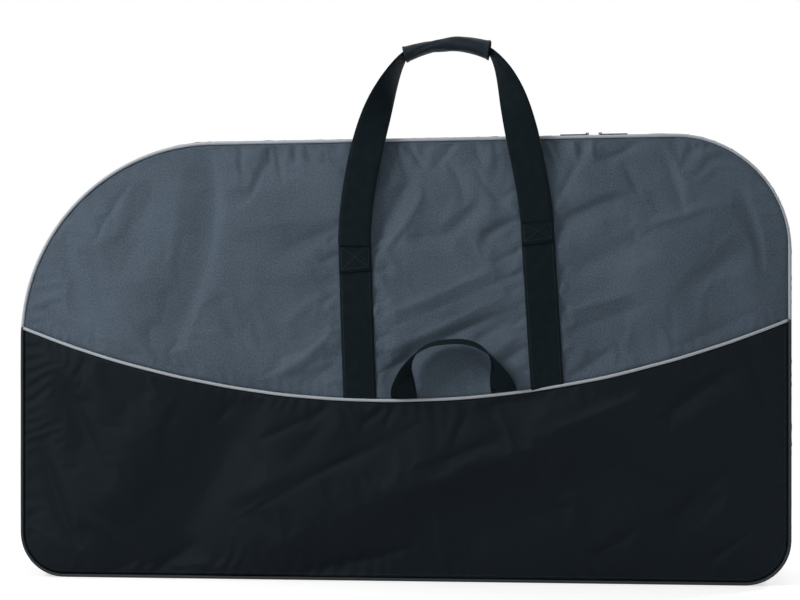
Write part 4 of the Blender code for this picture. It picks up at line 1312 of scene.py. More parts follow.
@dataclass
class SideWall:
    """Gusset round the ends and the top, the zip in it, and the base that wraps up."""

    form: BagForm
    strip_edge: float = 0.1172
    front_gusset_end: float = -0.0947
    front_tape: tuple[float, float] = (-0.0954, -0.0844)
    rear_tape: tuple[float, float] = (-0.0820, -0.0710)
    gusset_start: float = -0.0717
    inner_end: float = 0.1097
    tape_inset: float = 0.4 * MM
    foam_inset: float = 1.9 * MM
    lining_inset: float = 7.8 * MM
    spacing: float = 0.007

    def build(self) -> None:
        """Make the strips, the zip and the seams of the side wall."""
        edge, inner = self.strip_edge, (self.gusset_start, self.inner_end)
        for plan in (
                Strip("front_gusset_cloth", GREY_POLYESTER, "front_gusset", "door", 0.0,
                      (-edge, self.front_gusset_end), 1.2 * MM, 0.6 * MM),
                Strip("gusset_cloth", GREY_POLYESTER, "gusset", "bag", 0.0,
                      (self.gusset_start, edge), 1.2 * MM, 2.2 * MM),
                Strip("front_tape_cloth", ZIP_TAPE, "front_zip_tape", "door",
                      self.tape_inset, self.front_tape, 0.7 * MM),
                Strip("rear_tape_cloth", ZIP_TAPE, "rear_zip_tape", "bag", self.tape_inset,
                      self.rear_tape, 0.7 * MM),
                Strip("gusset_foam", FOAM_SHEET, "gusset_padding", "bag", self.foam_inset,
                      inner, 5.0 * MM),
                Strip("gusset_lining_cloth", LINING_CLOTH, "gusset_lining", "bag",
                      self.lining_inset, inner, 0.8 * MM, -0.8 * MM),
                Strip("base_cloth", BLACK_POLYESTER, "base_panel", "bag", 0.0, (-edge, edge),
                      1.5 * MM, upper=False)):
            self.strip(plan)
        self.teeth("front_coil", self.front_tape[1] + 0.1 * MM, "door", 0.0)
        self.teeth("rear_coil", self.rear_tape[0] - 0.1 * MM, "bag", TOOTH_PITCH / 2.0)
        self.seam_rows()
        LOG.info("side wall built")

    def path(self, inset: float, upper: bool = True) -> np.ndarray:
        """Outline over or under the top of the base's wrap."""
        wrap = self.form.base_wrap
        return self.form.stretch(inset, wrap, wrap, upper)

    def outward(self, path: np.ndarray) -> np.ndarray:
        """Unit directions out of the bag along a path in x and z."""
        ahead = np.gradient(path, axis=0)
        turned = unit(np.stack([-ahead[:, 1], ahead[:, 0]], axis=1))
        away = path - np.array([0.0, self.form.top_height / 2.0])
        return turned * np.sign(np.sum(turned * away))

    def strip(self, plan: Strip) -> None:
        """Make a strip of cloth or foam that follows the outline."""
        path = resample(self.path(plan.inset, plan.upper), self.spacing)
        width = plan.span[1] - plan.span[0]
        share = np.linspace(0.0, 1.0, max(3, int(width / self.spacing) + 1))
        along = lengths_along(path)
        cut = flat_cut(along, share * width)
        lift = np.zeros(cut.shape[:2])
        if plan.bulge != 0.0:
            lift = self.wrinkles(cut.reshape(-1, 2), width, plan.bulge).reshape(lift.shape)
        rows = np.empty((*lift.shape, 3))
        rows[:, :, 1] = plan.span[0] + share * width
        rows[:, :, ::2] = path[:, None] + self.outward(path)[:, None] * lift[:, :, None]
        mesh = lattice_mesh(plan.name, rows, cut)
        self.turn_outwards(mesh)
        piece = finished_piece(mesh, plan.finish, plan.body, plan.node)
        thicken(piece, plan.thickness)

    def wrinkles(self, flat: np.ndarray, width: float, bulge: float) -> np.ndarray:
        """How far a strip stands out, with gathers at its two seams.

        Args:
            flat: places along it and across it.
            width: of the strip.
            bulge: how far it stands out half way across.

        Returns:
            One height for each place.
        """
        along, across = flat[:, 0], flat[:, 1]
        arch = np.sin(math.pi * across / width)
        edge = np.minimum(across, width - across)
        gather = np.sin(along * 2.0 * math.pi / 0.026 + waves(flat, 0.10, 3.0, 4.0) * 4.0)
        near = bell(edge, 0.014) * gentle(edge, 0.0, 0.004)
        lift = bulge * arch * (0.7 + waves(flat, 0.09, 1.0, 6.0))
        return lift + 0.9 * MM * gather * near + waves(flat, 0.06, 1.1 * MM, 8.0) * arch

    def turn_outwards(self, mesh: bpy.types.Mesh) -> None:
        """Turn a strip's faces away from the middle of the bag."""
        middle = Vector((0.0, 0.0, self.form.top_height / 2.0))
        looking = sum(face.normal.dot(face.center - middle) * face.area
                      for face in mesh.polygons)
        if looking < 0.0:
            mesh.flip_normals()

    def teeth(self, name: str, y: float, body: str, shift: float) -> None:
        """Set the coil's teeth along the edge of a zip tape.

        Args:
            name: the piece's name.
            y: the middle of the teeth.
            body: the body that the tape rides on.
            shift: how far the teeth are moved along, so that the two rows mesh.
        """
        path = in_space(resample(self.path(self.tape_inset + 0.5 * MM), 0.004), y)
        places, ahead = row_along(path, TOOTH_PITCH, shift)
        across = np.tile(DEPTH, (len(places), 1))
        BeadRow(Bead.TOOTH, ZIP_COIL).lay(name, places, across, np.cross(across, ahead), body)

    def seam_rows(self) -> None:
        """Lay the stitching beside the zip and along the top of the base's wrap."""
        path = resample(self.path(-0.2 * MM), 0.006)
        for word, y, body in (("front", self.front_gusset_end - 3.0 * MM, "door"),
                              ("rear", self.gusset_start + 3.0 * MM, "bag")):
            places, ahead = row_along(in_space(path, y), STITCH_PITCH)
            BeadRow(Bead.STITCH, GREY_THREAD).lay(
                f"{word}_zip_topstitch", places, ahead, np.cross(DEPTH, ahead), body)
        reach = self.strip_edge - 4.0 * MM
        for word, sign in (("left", -1.0), ("right", 1.0)):
            x = sign * (self.form.half_length + STITCH_LIFT)
            paths = [np.array([(x, y, self.form.base_wrap - drop)
                               for y in np.linspace(-reach, reach, 40)])
                     for drop in (4.0 * MM, 9.0 * MM)]
            stitch_lines(f"base_{word}_topstitch", paths, (sign, 0.0, 0.0), DARK_THREAD,
                         "bag")


# Webbing.

def webbing_mesh(name: str, middles: np.ndarray, across: np.ndarray, outward: np.ndarray,
                 widths: np.ndarray, thickness: float) -> bpy.types.Mesh:
    """Make a closed strip of webbing with rounded edges.

    Args:
        name: name of the mesh.
        middles: points of its centre line.
        across: direction across it at each point.
        outward: direction of its shown face at each point.
        widths: its width at each point.
        thickness: of the webbing.

    Returns:
        The mesh; its cut runs along the webbing and round its section.
    """
    half = thickness / 2.0
    columns = 9
    face = np.linspace(-1.0, 1.0, columns)
    section = widths[:, None] / 2.0
    inner = 1.0 - 0.8 * half / section
    spread = np.concatenate([face, [1.0], face[::-1], [-1.0]])
    lift = np.concatenate([np.full(columns, half), [0.0], np.full(columns, -half), [0.0]])
    reach = np.where(lift == 0.0, spread, spread * inner) * section
    rows = (middles[:, None] + reach[:, :, None] * across[:, None]
            + lift[:, None] * outward[:, None])
    along = np.repeat(lengths_along(middles)[:, None], len(spread), axis=1)
    cut = np.stack([along, spread * section], axis=2)
    mesh = lattice_mesh(name, rows, cut, closed=True, capped=True)
    face_outwards(mesh)
    return mesh


@dataclass
class SewnStraps:
    """Two straps of webbing sewn to a wall, each with a box-stitched patch."""

    wall: PaddedWall
    plans: Sequence[StrapPlan]
    slope: float
    width: float = 0.0508
    webbing: float = 2.4 * MM
    patch: float = 2.0 * MM
    patch_gap: float = 0.1 * MM
    lift: float = 0.7 * MM
    edge_stitch_inset: float = 4.0 * MM
    box_stitch_inset: float = 4.5 * MM

    def build(self) -> None:
        """Make the straps, the patches and their stitches."""
        for plan in self.plans:
            rise = plan.hinge[1] - float(self.wall.form.seam(plan.foot_x))
            patch_start = 1.0 - plan.patch_height / rise
            self.strap(plan, patch_start)
            self.patch_piece(plan, patch_start)
        LOG.info("%s straps built", self.wall.side.prefix)

    def centre(self, plan: StrapPlan, low: float, high: float) -> tuple:
        """Centre line of a strap between two shares of its length.

        Args:
            plan: the strap.
            low: share of the length from the foot, where it starts.
            high: share where it ends.

        Returns:
            Points in x and z, and the direction across at each.
        """
        form = self.wall.form
        foot_z = float(form.seam(plan.foot_x))
        count = max(4, int((high - low) * (plan.hinge[1] - foot_z) / 0.005))
        share = np.linspace(low, high, count)
        x = plan.foot_x + (plan.hinge[0] - plan.foot_x) * share ** 0.9
        z = foot_z + (plan.hinge[1] - foot_z) * share
        from_middle = plan.foot_x - form.seam_middle_x
        foot_slope = 2.0 * form.seam_rise * from_middle / form.half_length ** 2
        slopes = foot_slope + (self.slope - foot_slope) * share
        return np.stack([x, z], axis=1), unit(np.stack([np.ones(count), slopes], axis=1))

    def over(self, line: np.ndarray, across: np.ndarray, offset: float,
             lift: float) -> np.ndarray:
        """Path beside a strap's centre line, over the wall as stiff webbing bridges it.

        Args:
            line: centre line in x and z.
            across: direction across at each point.
            offset: distance from the centre line.
            lift: height over the bridged wall.

        Returns:
            Points in space.
        """
        reaches = np.linspace(-0.45, 0.45, 5) * self.width
        heights = [self.wall.surface.heights_at(line + across * reach) for reach in reaches]
        bed = softened(np.max(heights, axis=0), 10)
        return in_space(line + across * offset,
                        self.wall.side.value * (self.wall.form.half_depth + bed + lift))

    def ribbon(self, name: str, centre: tuple, lift: float, thickness: float,
               node: str) -> None:
        """Lay one layer of webbing on the wall.

        Args:
            name: last part of the piece's name.
            centre: its centre line, and the direction across at each point.
            lift: height of the layer's underside over the wall.
            thickness: of the layer.
            node: last part of the name of the solid that it stands for.
        """
        side = self.wall.side
        across = centre[1]
        mesh = webbing_mesh(f"{side.prefix}_{name}",
                            self.over(*centre, 0.0, lift + thickness / 2.0),
                            in_space(across, 0.0), np.tile(side.value * DEPTH, (len(across), 1)),
                            np.full(len(across), self.width), thickness)
        finished_piece(mesh, BLACK_WEBBING, side.body, f"{side.prefix}_{node}")

    def strap(self, plan: StrapPlan, patch_start: float) -> None:
        """Make one strap and the stitches along its edges, up to its patch.

        Args:
            plan: the strap.
            patch_start: share of its length where the patch starts.
        """
        self.ribbon(f"webbing_{plan.word}", self.centre(plan, 0.0, 1.0), self.lift,
                    self.webbing, f"strap_{plan.word}")
        centre = self.centre(plan, 0.02, patch_start)
        reach = self.width / 2.0 - self.edge_stitch_inset
        self.stitches(f"strap_stitches_{plan.word}", [
            self.over(*centre, offset, self.lift + self.webbing + STITCH_LIFT)
            for offset in (-reach, reach)])

    def patch_piece(self, plan: StrapPlan, patch_start: float) -> None:
        """Make the patch at the strap's top and its box stitch with a cross.

        Args:
            plan: the strap.
            patch_start: share of its length where the patch starts.
        """
        centre = self.centre(plan, patch_start, 1.0)
        under = self.lift + self.webbing + self.patch_gap
        self.ribbon(f"patch_{plan.word}", centre, under, self.patch,
                    f"stitch_patch_{plan.word}")
        over = under + self.patch + STITCH_LIFT
        reach = self.width / 2.0 - self.box_stitch_inset
        margin = self.box_stitch_inset / plan.patch_height
        count = len(centre[0])
        rows = slice(int(count * margin) + 1, int(count * (1.0 - margin)))
        left, right = (self.over(*centre, offset, over)[rows] for offset in (-reach, reach))
        ends = [np.linspace(left[row], right[row], 12) for row in (0, -1)]
        cross = [np.linspace(left[0], right[-1], 12), np.linspace(right[0], left[-1], 12)]
        self.stitches(f"box_stitch_{plan.word}", [left, right, *ends, *cross])

    def stitches(self, name: str, paths: Sequence[np.ndarray]) -> None:
        """Lay stitches on the webbing, along each of several paths."""
        side = self.wall.side
        stitch_lines(f"{side.prefix}_{name}", paths, (0.0, side.value, 0.0), DARK_THREAD,
                     side.body)


@dataclass
class CarryLoop:
    """Free loop of webbing with its cloth grip, standing or hanging from its hinge line."""

    side: Side
    left: Point
    right: Point
    swing: float = 0.0
    webbing_width: float = 0.0508
    grip_webbing_width: float = 0.040
    thickness: float = 2.4 * MM
    rise: float = 0.2845
    top_shift: float = 3.0 * MM
    twist_start: float = 0.50
    most_twist: float = math.radians(80.0)
    lean_left: tuple[float, float] = (0.85, 1.8)
    lean_right: tuple[float, float] = (0.75, 1.25)
    lean_top_power: float = 9.0
    grip_length: float = 0.130
    grip_drops: tuple[float, float] = (0.0153, 0.0092)
    grip_depth: float = 0.046
    grip_end_heights: tuple[float, float] = (0.0225, 0.0275)
    grip_waist_height: float = 0.0150
    grip_waist: float = -0.33
    grip_flare: float = 1.2 * MM
    grip_cloth: float = 1.4 * MM
    grip_cut_radius: float = 0.016
    leg_steps: int = 48
    grip_steps: int = 36
    grip_sides: int = 40
    root: float = 6.0 * MM

    def build(self) -> None:
        """Make the webbing and the grip; the grip rides on the loop's body, as does a hanging loop's
        webbing, and a standing loop's webbing is baked in place.
        """
        middles, widths, across, outward = self.centre_line()
        prefix, body = self.side.prefix, f"{self.side.prefix}_loop"
        standing = self.side is Side.FRONT
        if standing:
            drops = np.array([self.root, 0.6 * self.root, 0.2 * self.root])[:, None]
            down = -self.upright
            middles = np.concatenate([middles[:1] + drops * down, middles,
                                      middles[-1:] + drops[::-1] * down])
            widths, across, outward = (held_ends(rows, 3) for rows in (widths, across, outward))
        mesh = webbing_mesh(f"{prefix}_carry_webbing", middles, across, outward, widths,
                            self.thickness)
        webbing = finished_piece(mesh, BLACK_WEBBING, "" if standing else body,
                                 f"{prefix}_handle")
        if standing:
            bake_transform(webbing)
        finished_piece(self.grip_mesh(), GRIP_CLOTH, body, f"{prefix}_grip")
        LOG.info("%s carry loop built", prefix)

    @property
    def upright(self) -> np.ndarray:
        """Direction from the hinge line up a strap, square to the line."""
        along = self.hinge[2]
        return np.array([-along.z, 0.0, along.x]) / math.hypot(along.x, along.z)

    @property
    def hinge(self) -> tuple[Vector, Vector, Vector]:
        """Left and right end of the hinge line and its direction."""
        left, right = Vector(self.left), Vector(self.right)
        return left, right, (right - left).normalized()

    def leg(self, foot: Vector, end: Vector, lean: tuple[float, float]) -> tuple:
        """One leg: it leans in towards the grip and turns edge-on near the top.

        Args:
            foot: its place on the hinge line.
            end: its place at the grip.
            lean: weight and power of its lean.

        Returns:
            Points, widths and twists.
        """
        weight, power = lean
        share = np.linspace(0.0, 1.0, self.leg_steps + 1)
        inward = weight * share ** power + (1.0 - weight) * share ** self.lean_top_power
        start, stop = np.array(foot), np.array(end)
        points = start + (stop - start) * share[:, None]
        points[:, 0] = start[0] + (stop[0] - start[0]) * inward
        twist = np.clip((share - self.twist_start) / (1.0 - self.twist_start), 0.0, 1.0)
        widths = self.webbing_width + (self.grip_webbing_width - self.webbing_width) * twist
        return points, widths, twist ** 1.5 * self.most_twist

    def centre_line(self) -> tuple:
        """Centre line of the whole loop, turned to where it rests.

        Returns:
            Points, widths, directions across and directions of the shown face.
        """
        left, right, along = self.hinge
        top = (left + right) / 2.0 + Vector((self.top_shift, 0.0, self.rise))
        ends = (top + Vector((-self.grip_length / 2.0, 0.0, -self.grip_drops[0])),
                top + Vector((self.grip_length / 2.0, 0.0, -self.grip_drops[1])))
        points, widths, twists = self.leg(left, ends[0], self.lean_left)
        share = np.linspace(0.0, 1.0, self.grip_steps + 1)[1:-1]
        chord = np.array(ends[0]) + (np.array(ends[1]) - np.array(ends[0])) * share[:, None]
        chord[:, 2] += sum(self.grip_drops) / 2.0 * (1.0 - (2.0 * share - 1.0) ** 2)
        other = self.leg(right, ends[1], self.lean_right)
        points = np.concatenate([points, chord, other[0][::-1]])
        widths = np.concatenate([widths, np.full(len(share), self.grip_webbing_width),
                                 other[1][::-1]])
        over = self.most_twist + (math.pi - 2.0 * self.most_twist) * share
        twists = np.concatenate([twists, over, math.pi - other[2][::-1]])
        across = (np.array(along) * np.cos(twists)[:, None]
                  + DEPTH * np.sin(twists)[:, None])
        ahead = np.gradient(points, axis=0)
        across = square_to(across, ahead)
        outward = unit(np.cross(across, ahead))
        sag = waves(points, 0.07, 1.2 * MM, 21.0) * np.sin(
            math.pi * np.linspace(0.0, 1.0, len(points)))
        points = points + outward * sag[:, None]
        return (self.turned(points, True), widths, self.turned(across, False),
                self.turned(outward, False))

    def turned(self, vectors: np.ndarray, places: bool) -> np.ndarray:
        """Swing a standing loop's vectors about the hinge line.

        Args:
            vectors: places or directions.
            places: whether they are places.

        Returns:
            The swung vectors.
        """
        left, right, along = self.hinge
        turn = np.array(Matrix.Rotation(self.swing, 3, along))
        middle = np.array((left + right) / 2.0) if places else np.zeros(3)
        return (vectors - middle) @ turn.T + middle

    def grip_mesh(self) -> bpy.types.Mesh:
        """Make the cloth wrap: a flat sleeve with flared ends, a waist and slanting folds.

        Returns:
            The closed mesh of the sleeve, with its thickness.
        """
        first = self.leg_steps
        path = resample(self.centre_line()[0][first:first + self.grip_steps + 1],
                        self.grip_length / 72.0)
        depth = self.turned(np.tile(DEPTH, (len(path), 1)), False)
        tall = unit(np.cross(np.gradient(path, axis=0), depth))
        tall = unit(0.6 * tall + 0.4 * tall[len(path) // 2])
        angles = np.linspace(0.0, 2.0 * math.pi, self.grip_sides, endpoint=False)
        share = np.linspace(-1.0, 1.0, len(path))
        from_waist = share - self.grip_waist
        far = np.abs(from_waist) / np.where(from_waist < 0.0, 1.0 + self.grip_waist,
                                            1.0 - self.grip_waist)
        ends = np.where(from_waist < 0.0, *self.grip_end_heights)
        heights = self.grip_waist_height + (ends - self.grip_waist_height) * far
        flat, high = signed_power(np.cos(angles), 0.6), signed_power(np.sin(angles), 0.8)
        around, travel = np.meshgrid(angles, share)
        slant = np.sin(around * 3.0 + travel * 7.0) + 0.6 * np.sin(around * 5.0 - travel * 11.0)
        fold = 0.45 * MM * slant * (1.0 - 0.5 * np.abs(travel))
        crease_at = 0.55 - np.abs(travel) ** 1.2 * np.where(travel < 0.0, 1.35, 0.9)
        fold -= 1.5 * MM * bell(high - crease_at, 0.22)
        fold += 0.8 * MM * bell(high - crease_at - 0.45, 0.30)
        flare = self.grip_flare * gentle(np.abs(travel), 0.90, 1.0)
        rows = []
        for inward in (0.0, self.grip_cloth):
            scale = fold + flare - inward
            wide = flat * self.grip_depth / 2.0 + np.cos(angles) * scale
            deep = high * heights[:, None] / 2.0 + np.sin(angles) * scale
            rows.append(path[:, None] + depth[:, None] * wide[..., None]
                        + tall[:, None] * deep[..., None])
        both = np.concatenate([rows[0], rows[1][::-1], rows[0][:1]])
        along = lengths_along(path)
        cut = flat_cut(np.concatenate([along, along[::-1], along[:1]]),
                       angles * self.grip_cut_radius)
        mesh = lattice_mesh(f"{self.side.prefix}_grip_wrap", both, cut, closed=True)
        face_outwards(mesh, merge=True)
        return mesh


@dataclass
class GrabLoop:
    """Short loop of narrower webbing that stands on the front's colour seam."""

    form: BagForm
    wall: PaddedWall
    left_x: float = 0.0092
    right_x: float = 0.1625
    width: float = 0.040
    thickness: float = 2.0 * MM
    rise: float = 0.080
    lean: float = 0.14
    seat: float = 5.9 * MM
    gap: float = 0.7 * MM
    steps: int = 72

    def build(self) -> None:
        """Make the loop, whose roots run down to the door's seam, and bake it in place."""
        middles, across, outward, pivot_z = self.centre_line()
        widths = np.full(len(middles), self.width)
        mesh = webbing_mesh("grab_webbing", middles, across, outward, widths, self.thickness)
        piece = finished_piece(mesh, BLACK_WEBBING, node="front_grab_handle")
        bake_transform(piece)
        LOG.info("grab handle built")

    def centre_line(self) -> tuple:
        """Centre line of the loop, with a root at each end that runs down to the seam.

        Returns:
            Points, directions across, directions of the shown face, and the height of the
            line about which the loop swings.
        """
        form = self.form
        y = -(form.half_depth + form.crown + self.gap + self.thickness / 2.0)
        left, right = (np.array([x, y, float(form.seam(x)) + self.seat])
                       for x in (self.left_x, self.right_x))
        along = unit(right - left)
        up = np.cross(DEPTH, along)
        up *= np.sign(up[2])
        half_span = np.linalg.norm(right - left) / 2.0
        angle = np.linspace(0.0, math.pi, self.steps + 1)
        height = np.sin(angle)
        turned = 1.0 - (1.0 - height) ** 2.1
        past = gentle(angle, 1.0, math.pi - 1.0)
        twist = (1.0 - past) * turned * math.pi / 2.0 + past * (
            math.pi - turned * math.pi / 2.0)
        spread = signed_power(np.cos(angle), 0.78)
        points = ((left + right) / 2.0 - along * (half_span * spread)[:, None]
                  + up * (self.rise * height ** 0.9)[:, None])
        points[:, 1] -= 0.6 * self.width * np.sin(twist) + 6.0 * MM * height
        across = along * np.cos(twist)[:, None] + DEPTH * np.sin(twist)[:, None]
        across += up * (self.lean * height ** 2)[:, None]
        roots = []
        for foot, order in ((points[0], 1), (points[-1], -1)):
            drops = np.linspace(self.seat - 0.5 * MM, 1.0 * MM, 4)[::order]
            root = np.tile(foot, (4, 1))
            root[:, 2] -= drops
            heights = self.wall.surface.heights_at(root[:, ::2])
            root[:, 1] = np.maximum(root[:, 1], -(form.half_depth + heights + 3.2 * MM))
            roots.append(root)
        points = np.concatenate([roots[0], points, roots[1]])
        across = held_ends(across, 4)
        ahead = np.gradient(points, axis=0)
        across = square_to(across, ahead)
        return (points, across, unit(np.cross(across, ahead)),
                float((left[2] + right[2]) / 2.0))


# Inside.

@dataclass
class WheelPocket:
    """Open-topped pocket on the lining, with bound edges."""

    form: BagForm
    side: Side
    length: float = 0.58
    height: float = 0.40
    depth: float = 0.026
    radius: float = 0.16
    floor: float = 0.075
    centre_x: float = -0.20
    cloth: float = 1.2 * MM
    wall_behind: float = 10.6 * MM
    binding: float = 2.0 * MM

    def build(self) -> None:
        """Make the pocket's face, its side and the binding between them."""
        prefix, body = self.side.prefix, self.side.body
        self.face()
        outline = self.outline(48)
        depths = np.linspace(0.0, 1.0, 6)
        rows = np.stack([self.place(outline, share) for share in depths], axis=1)
        along = lengths_along(outline)
        mesh = lattice_mesh(f"{prefix}_pocket_side", rows, flat_cut(along, depths * self.depth))
        side = finished_piece(mesh, LINING_CLOTH, body)
        thicken(side, self.cloth)
        x = np.linspace(outline[0, 0], outline[-1, 0], 90)
        top = np.stack([x, np.full(90, self.floor + self.height)], axis=1)
        for word, path in (("binding", resample(self.place(outline, 1.0), 0.006)),
                           ("hem", self.place(top, 1.0))):
            finished_piece(rope_mesh(f"{prefix}_pocket_{word}", path, self.binding, 8),
                           DARK_PIPING, body)
        LOG.info("%s wheel pocket built", prefix)

    @property
    def ends(self) -> tuple[float, float]:
        """Places of its left and right side in x."""
        return self.centre_x - self.length / 2.0, self.centre_x + self.length / 2.0

    def outline(self, steps: int) -> np.ndarray:
        """Left side, bottom with rounded corners of some steps, and right side, in x and z."""
        left, right = self.ends
        top = self.floor + self.height
        corner = np.linspace(0.0, math.pi / 2.0, steps)
        round_x, round_z = np.cos(corner) * self.radius, np.sin(corner) * self.radius
        z = self.floor + self.radius - round_z
        left_arc = np.stack([left + self.radius - round_x, z], axis=1)
        right_arc = np.stack([right - self.radius + round_x, z], axis=1)[::-1]
        path = np.concatenate([[[left, top]], left_arc, right_arc, [[right, top]]])
        return resample(path, 0.010)

    def place(self, points: np.ndarray, share: float) -> np.ndarray:
        """Put points of the pocket in space.

        Args:
            points: in x and z.
            share: 0 at the lining, 1 at the pocket's face.

        Returns:
            Points in space.
        """
        crown = self.form.plain_crown(points)
        inside = self.form.half_depth - self.wall_behind - self.depth * share + crown
        return in_space(points, self.side.value * inside)

    def face(self) -> None:
        """Make the pocket's face, a little slack at its top."""
        prefix = self.side.prefix
        left, right = self.ends
        rows, columns = 41, 59
        share_z = np.linspace(0.0, 1.0, rows) ** 1.3
        z = self.floor + self.height * share_z
        drop = np.clip(self.floor + self.radius - z, 0.0, self.radius)
        narrow = self.radius - np.sqrt(np.maximum(self.radius ** 2 - drop ** 2, 0.0))
        share_x = np.linspace(0.0, 1.0, columns)
        grid = np.empty((rows, columns, 2))
        grid[:, :, 0] = (left + narrow)[:, None] + (
            right - left - 2.0 * narrow)[:, None] * share_x
        grid[:, :, 1] = z[:, None]
        flat = grid.reshape(-1, 2)
        places = self.place(flat, 1.0)
        inside = np.minimum(flat[:, 0] - left, right - flat[:, 0])
        slack = waves(flat, 0.08, 1.2 * MM, 30.0 + self.side.value) * gentle(inside, 0.0, 0.05)
        places[:, 1] += slack
        mesh = lattice_mesh(f"{prefix}_pocket_face", places.reshape(rows, columns, 3), grid)
        face_outwards(mesh, (0.0, -self.side.value, 0.0))
        piece = finished_piece(mesh, LINING_CLOTH, self.side.body, f"{prefix}_wheel_pocket")
        thicken(piece, self.cloth)


@dataclass(frozen=True)
class RoundedSolid:
    """Rigid piece that keeps its solid's shape, with its edges rounded as cast or cut."""

    node: str
    name: str
    finish: Finish
    body: str
    rounding: float

    def build(self, nodes: dict) -> None:
        """Copy the solid, merge its triangles, round its edges and let it ride.

        Args:
            nodes: the frame's solids by name.
        """
        bm = bmesh.new()
        bm.from_mesh(nodes[self.node].data)
        bmesh.ops.remove_doubles(bm, verts=bm.verts[:], dist=1e-6)
        bmesh.ops.recalc_face_normals(bm, faces=bm.faces[:])
        bmesh.ops.dissolve_limit(bm, angle_limit=math.radians(2.0), verts=bm.verts[:],
                                 edges=bm.edges[:])
        mesh = bpy.data.meshes.new(self.name)
        bm.to_mesh(mesh)
        bm.free()
        piece = finished_piece(mesh, self.finish, self.body, self.node)
        mesh.set_sharp_from_angle(angle=math.radians(40.0))
        edges = piece.modifiers.new("rounded_edges", "BEVEL")
        edges.width = self.rounding
        edges.segments = 3
        edges.limit_method = "ANGLE"
        edges.harden_normals = True
        LOG.info("%s built", self.name)


# Studio.

@dataclass(frozen=True)
class Studio:
    """Camera at the photograph's angle, plain soft lamps, a pale floor and a white world."""

    distance: float = 3.2
    view_width: float = 1.232
    aim: tuple[float, float, float] = (0.003, -0.138, 0.4358)
    yaw: float = math.radians(5.5)
    sensor: float = 36.0
    floor_lift: float = 0.62
    floor_reach: float = 12.0
    floor_fade: tuple[float, float] = (0.75, 2.2)
    world_light: float = 0.16

    def build(self) -> None:
        """Make the camera, the lamps, the floor and the world."""
        self.camera()
        for name, place, size, power in (
                ("key", (-1.9, -1.6, 1.9), 0.9, 50.0), ("fill", (1.6, -3.2, 1.0), 2.2, 7.0),
                ("top", (0.2, 0.4, 3.0), 2.0, 26.0), ("back", (2.2, 1.7, 1.9), 1.0, 44.0)):
            self.lamp(name, place, size, power)
        self.floor()
        self.world()
        LOG.info("studio built")

    def camera(self) -> None:
        """Put the camera where the photograph was taken from."""
        data = bpy.data.cameras.new("camera")
        data.sensor_width = self.sensor
        data.lens = self.sensor * self.distance / self.view_width
        camera = add_object("camera", data)
        aim = Vector(self.aim)
        away = Vector((math.sin(self.yaw), -math.cos(self.yaw), 0.0))
        camera.location = aim + away * self.distance
        camera.rotation_euler = (-away).to_track_quat("-Z", "Y").to_euler()
        bpy.context.scene.camera = camera

    def lamp(self, name: str, place: Point, size: float, power: float) -> None:
        """Add one soft square lamp that looks at the bag's middle.

        Args:
            name: the lamp's name.
            place: where it hangs.
            size: its side.
            power: in watts.
        """
        data = bpy.data.lights.new(name, "AREA")
        data.size = size
        data.energy = power
        lamp = add_object(name, data)
        lamp.location = place
        look = Vector((0.0, 0.0, 0.35)) - Vector(place)
        lamp.rotation_euler = look.to_track_quat("-Z", "Y").to_euler()

    def looking(self, tree: Tree) -> Socket:
        """Add an output that is 1 for camera, glossy and transmission rays, 0 for the rest."""
        rays = add_node(tree, "ShaderNodeLightPath").outputs
        seen = math_node(tree, "MAXIMUM", rays["Is Camera Ray"], rays["Is Glossy Ray"])
        return math_node(tree, "MAXIMUM", seen, rays["Is Transmission Ray"])

    def floor(self) -> None:
        """Make the pale floor that the bag stands on."""
        mesh = bpy.data.meshes.new("studio_floor")
        mesh.from_pydata([(x * self.floor_reach, y * self.floor_reach, 0.0)
                          for x, y in ((-1, -1), (1, -1), (1, 1), (-1, 1))], [], [(0, 1, 2, 3)])
        floor = finished_piece(mesh, STUDIO_FLOOR)
        tree = STUDIO_FLOOR.build().node_tree
        shaded = tree.nodes["Principled BSDF"].outputs[0]
        output = tree.nodes["Material Output"]
        lift = add_node(tree, "ShaderNodeEmission", {"Strength": self.floor_lift})
        near = add_node(tree, "ShaderNodeAddShader", {0: shaded, 1: lift.outputs[0]})
        white = add_node(tree, "ShaderNodeEmission", {"Strength": 1.0})
        place = add_node(tree, "ShaderNodeTexCoord").outputs["Object"]
        away = add_node(tree, "ShaderNodeVectorMath", {0: place}, {"operation": "LENGTH"})
        far = add_node(tree, "ShaderNodeMapRange", {
            "Value": away.outputs["Value"], "From Min": self.floor_fade[0],
            "From Max": self.floor_fade[1]},
            {"interpolation_type": "SMOOTHSTEP"})
        seen = add_node(tree, "ShaderNodeMixShader", {
            0: far.outputs[0], 1: near.outputs[0], 2: white.outputs[0]})
        mixed = add_node(tree, "ShaderNodeMixShader", {
            0: self.looking(tree), 1: shaded, 2: seen.outputs[0]})
        tree.links.new(mixed.outputs[0], output.inputs["Surface"])

    def world(self) -> None:
        """Make the world white for the camera and for reflections, and a plain light."""
        world = bpy.data.worlds.new("studio_world")
        world.use_nodes = True
        tree = world.node_tree
        tree.nodes.clear()
        light, seen = (add_node(tree, "ShaderNodeBackground", {
            "Color": linear("#FFFFFF"), "Strength": strength}).outputs[0]
            for strength in (self.world_light, 1.0))
        mixed = add_node(tree, "ShaderNodeMixShader", {0: self.looking(tree), 1: light, 2: seen})
        add_node(tree, "ShaderNodeOutputWorld", {"Surface": mixed.outputs[0]})
        bpy.context.scene.world = world
        bpy.context.scene.view_settings.view_transform = "Standard"
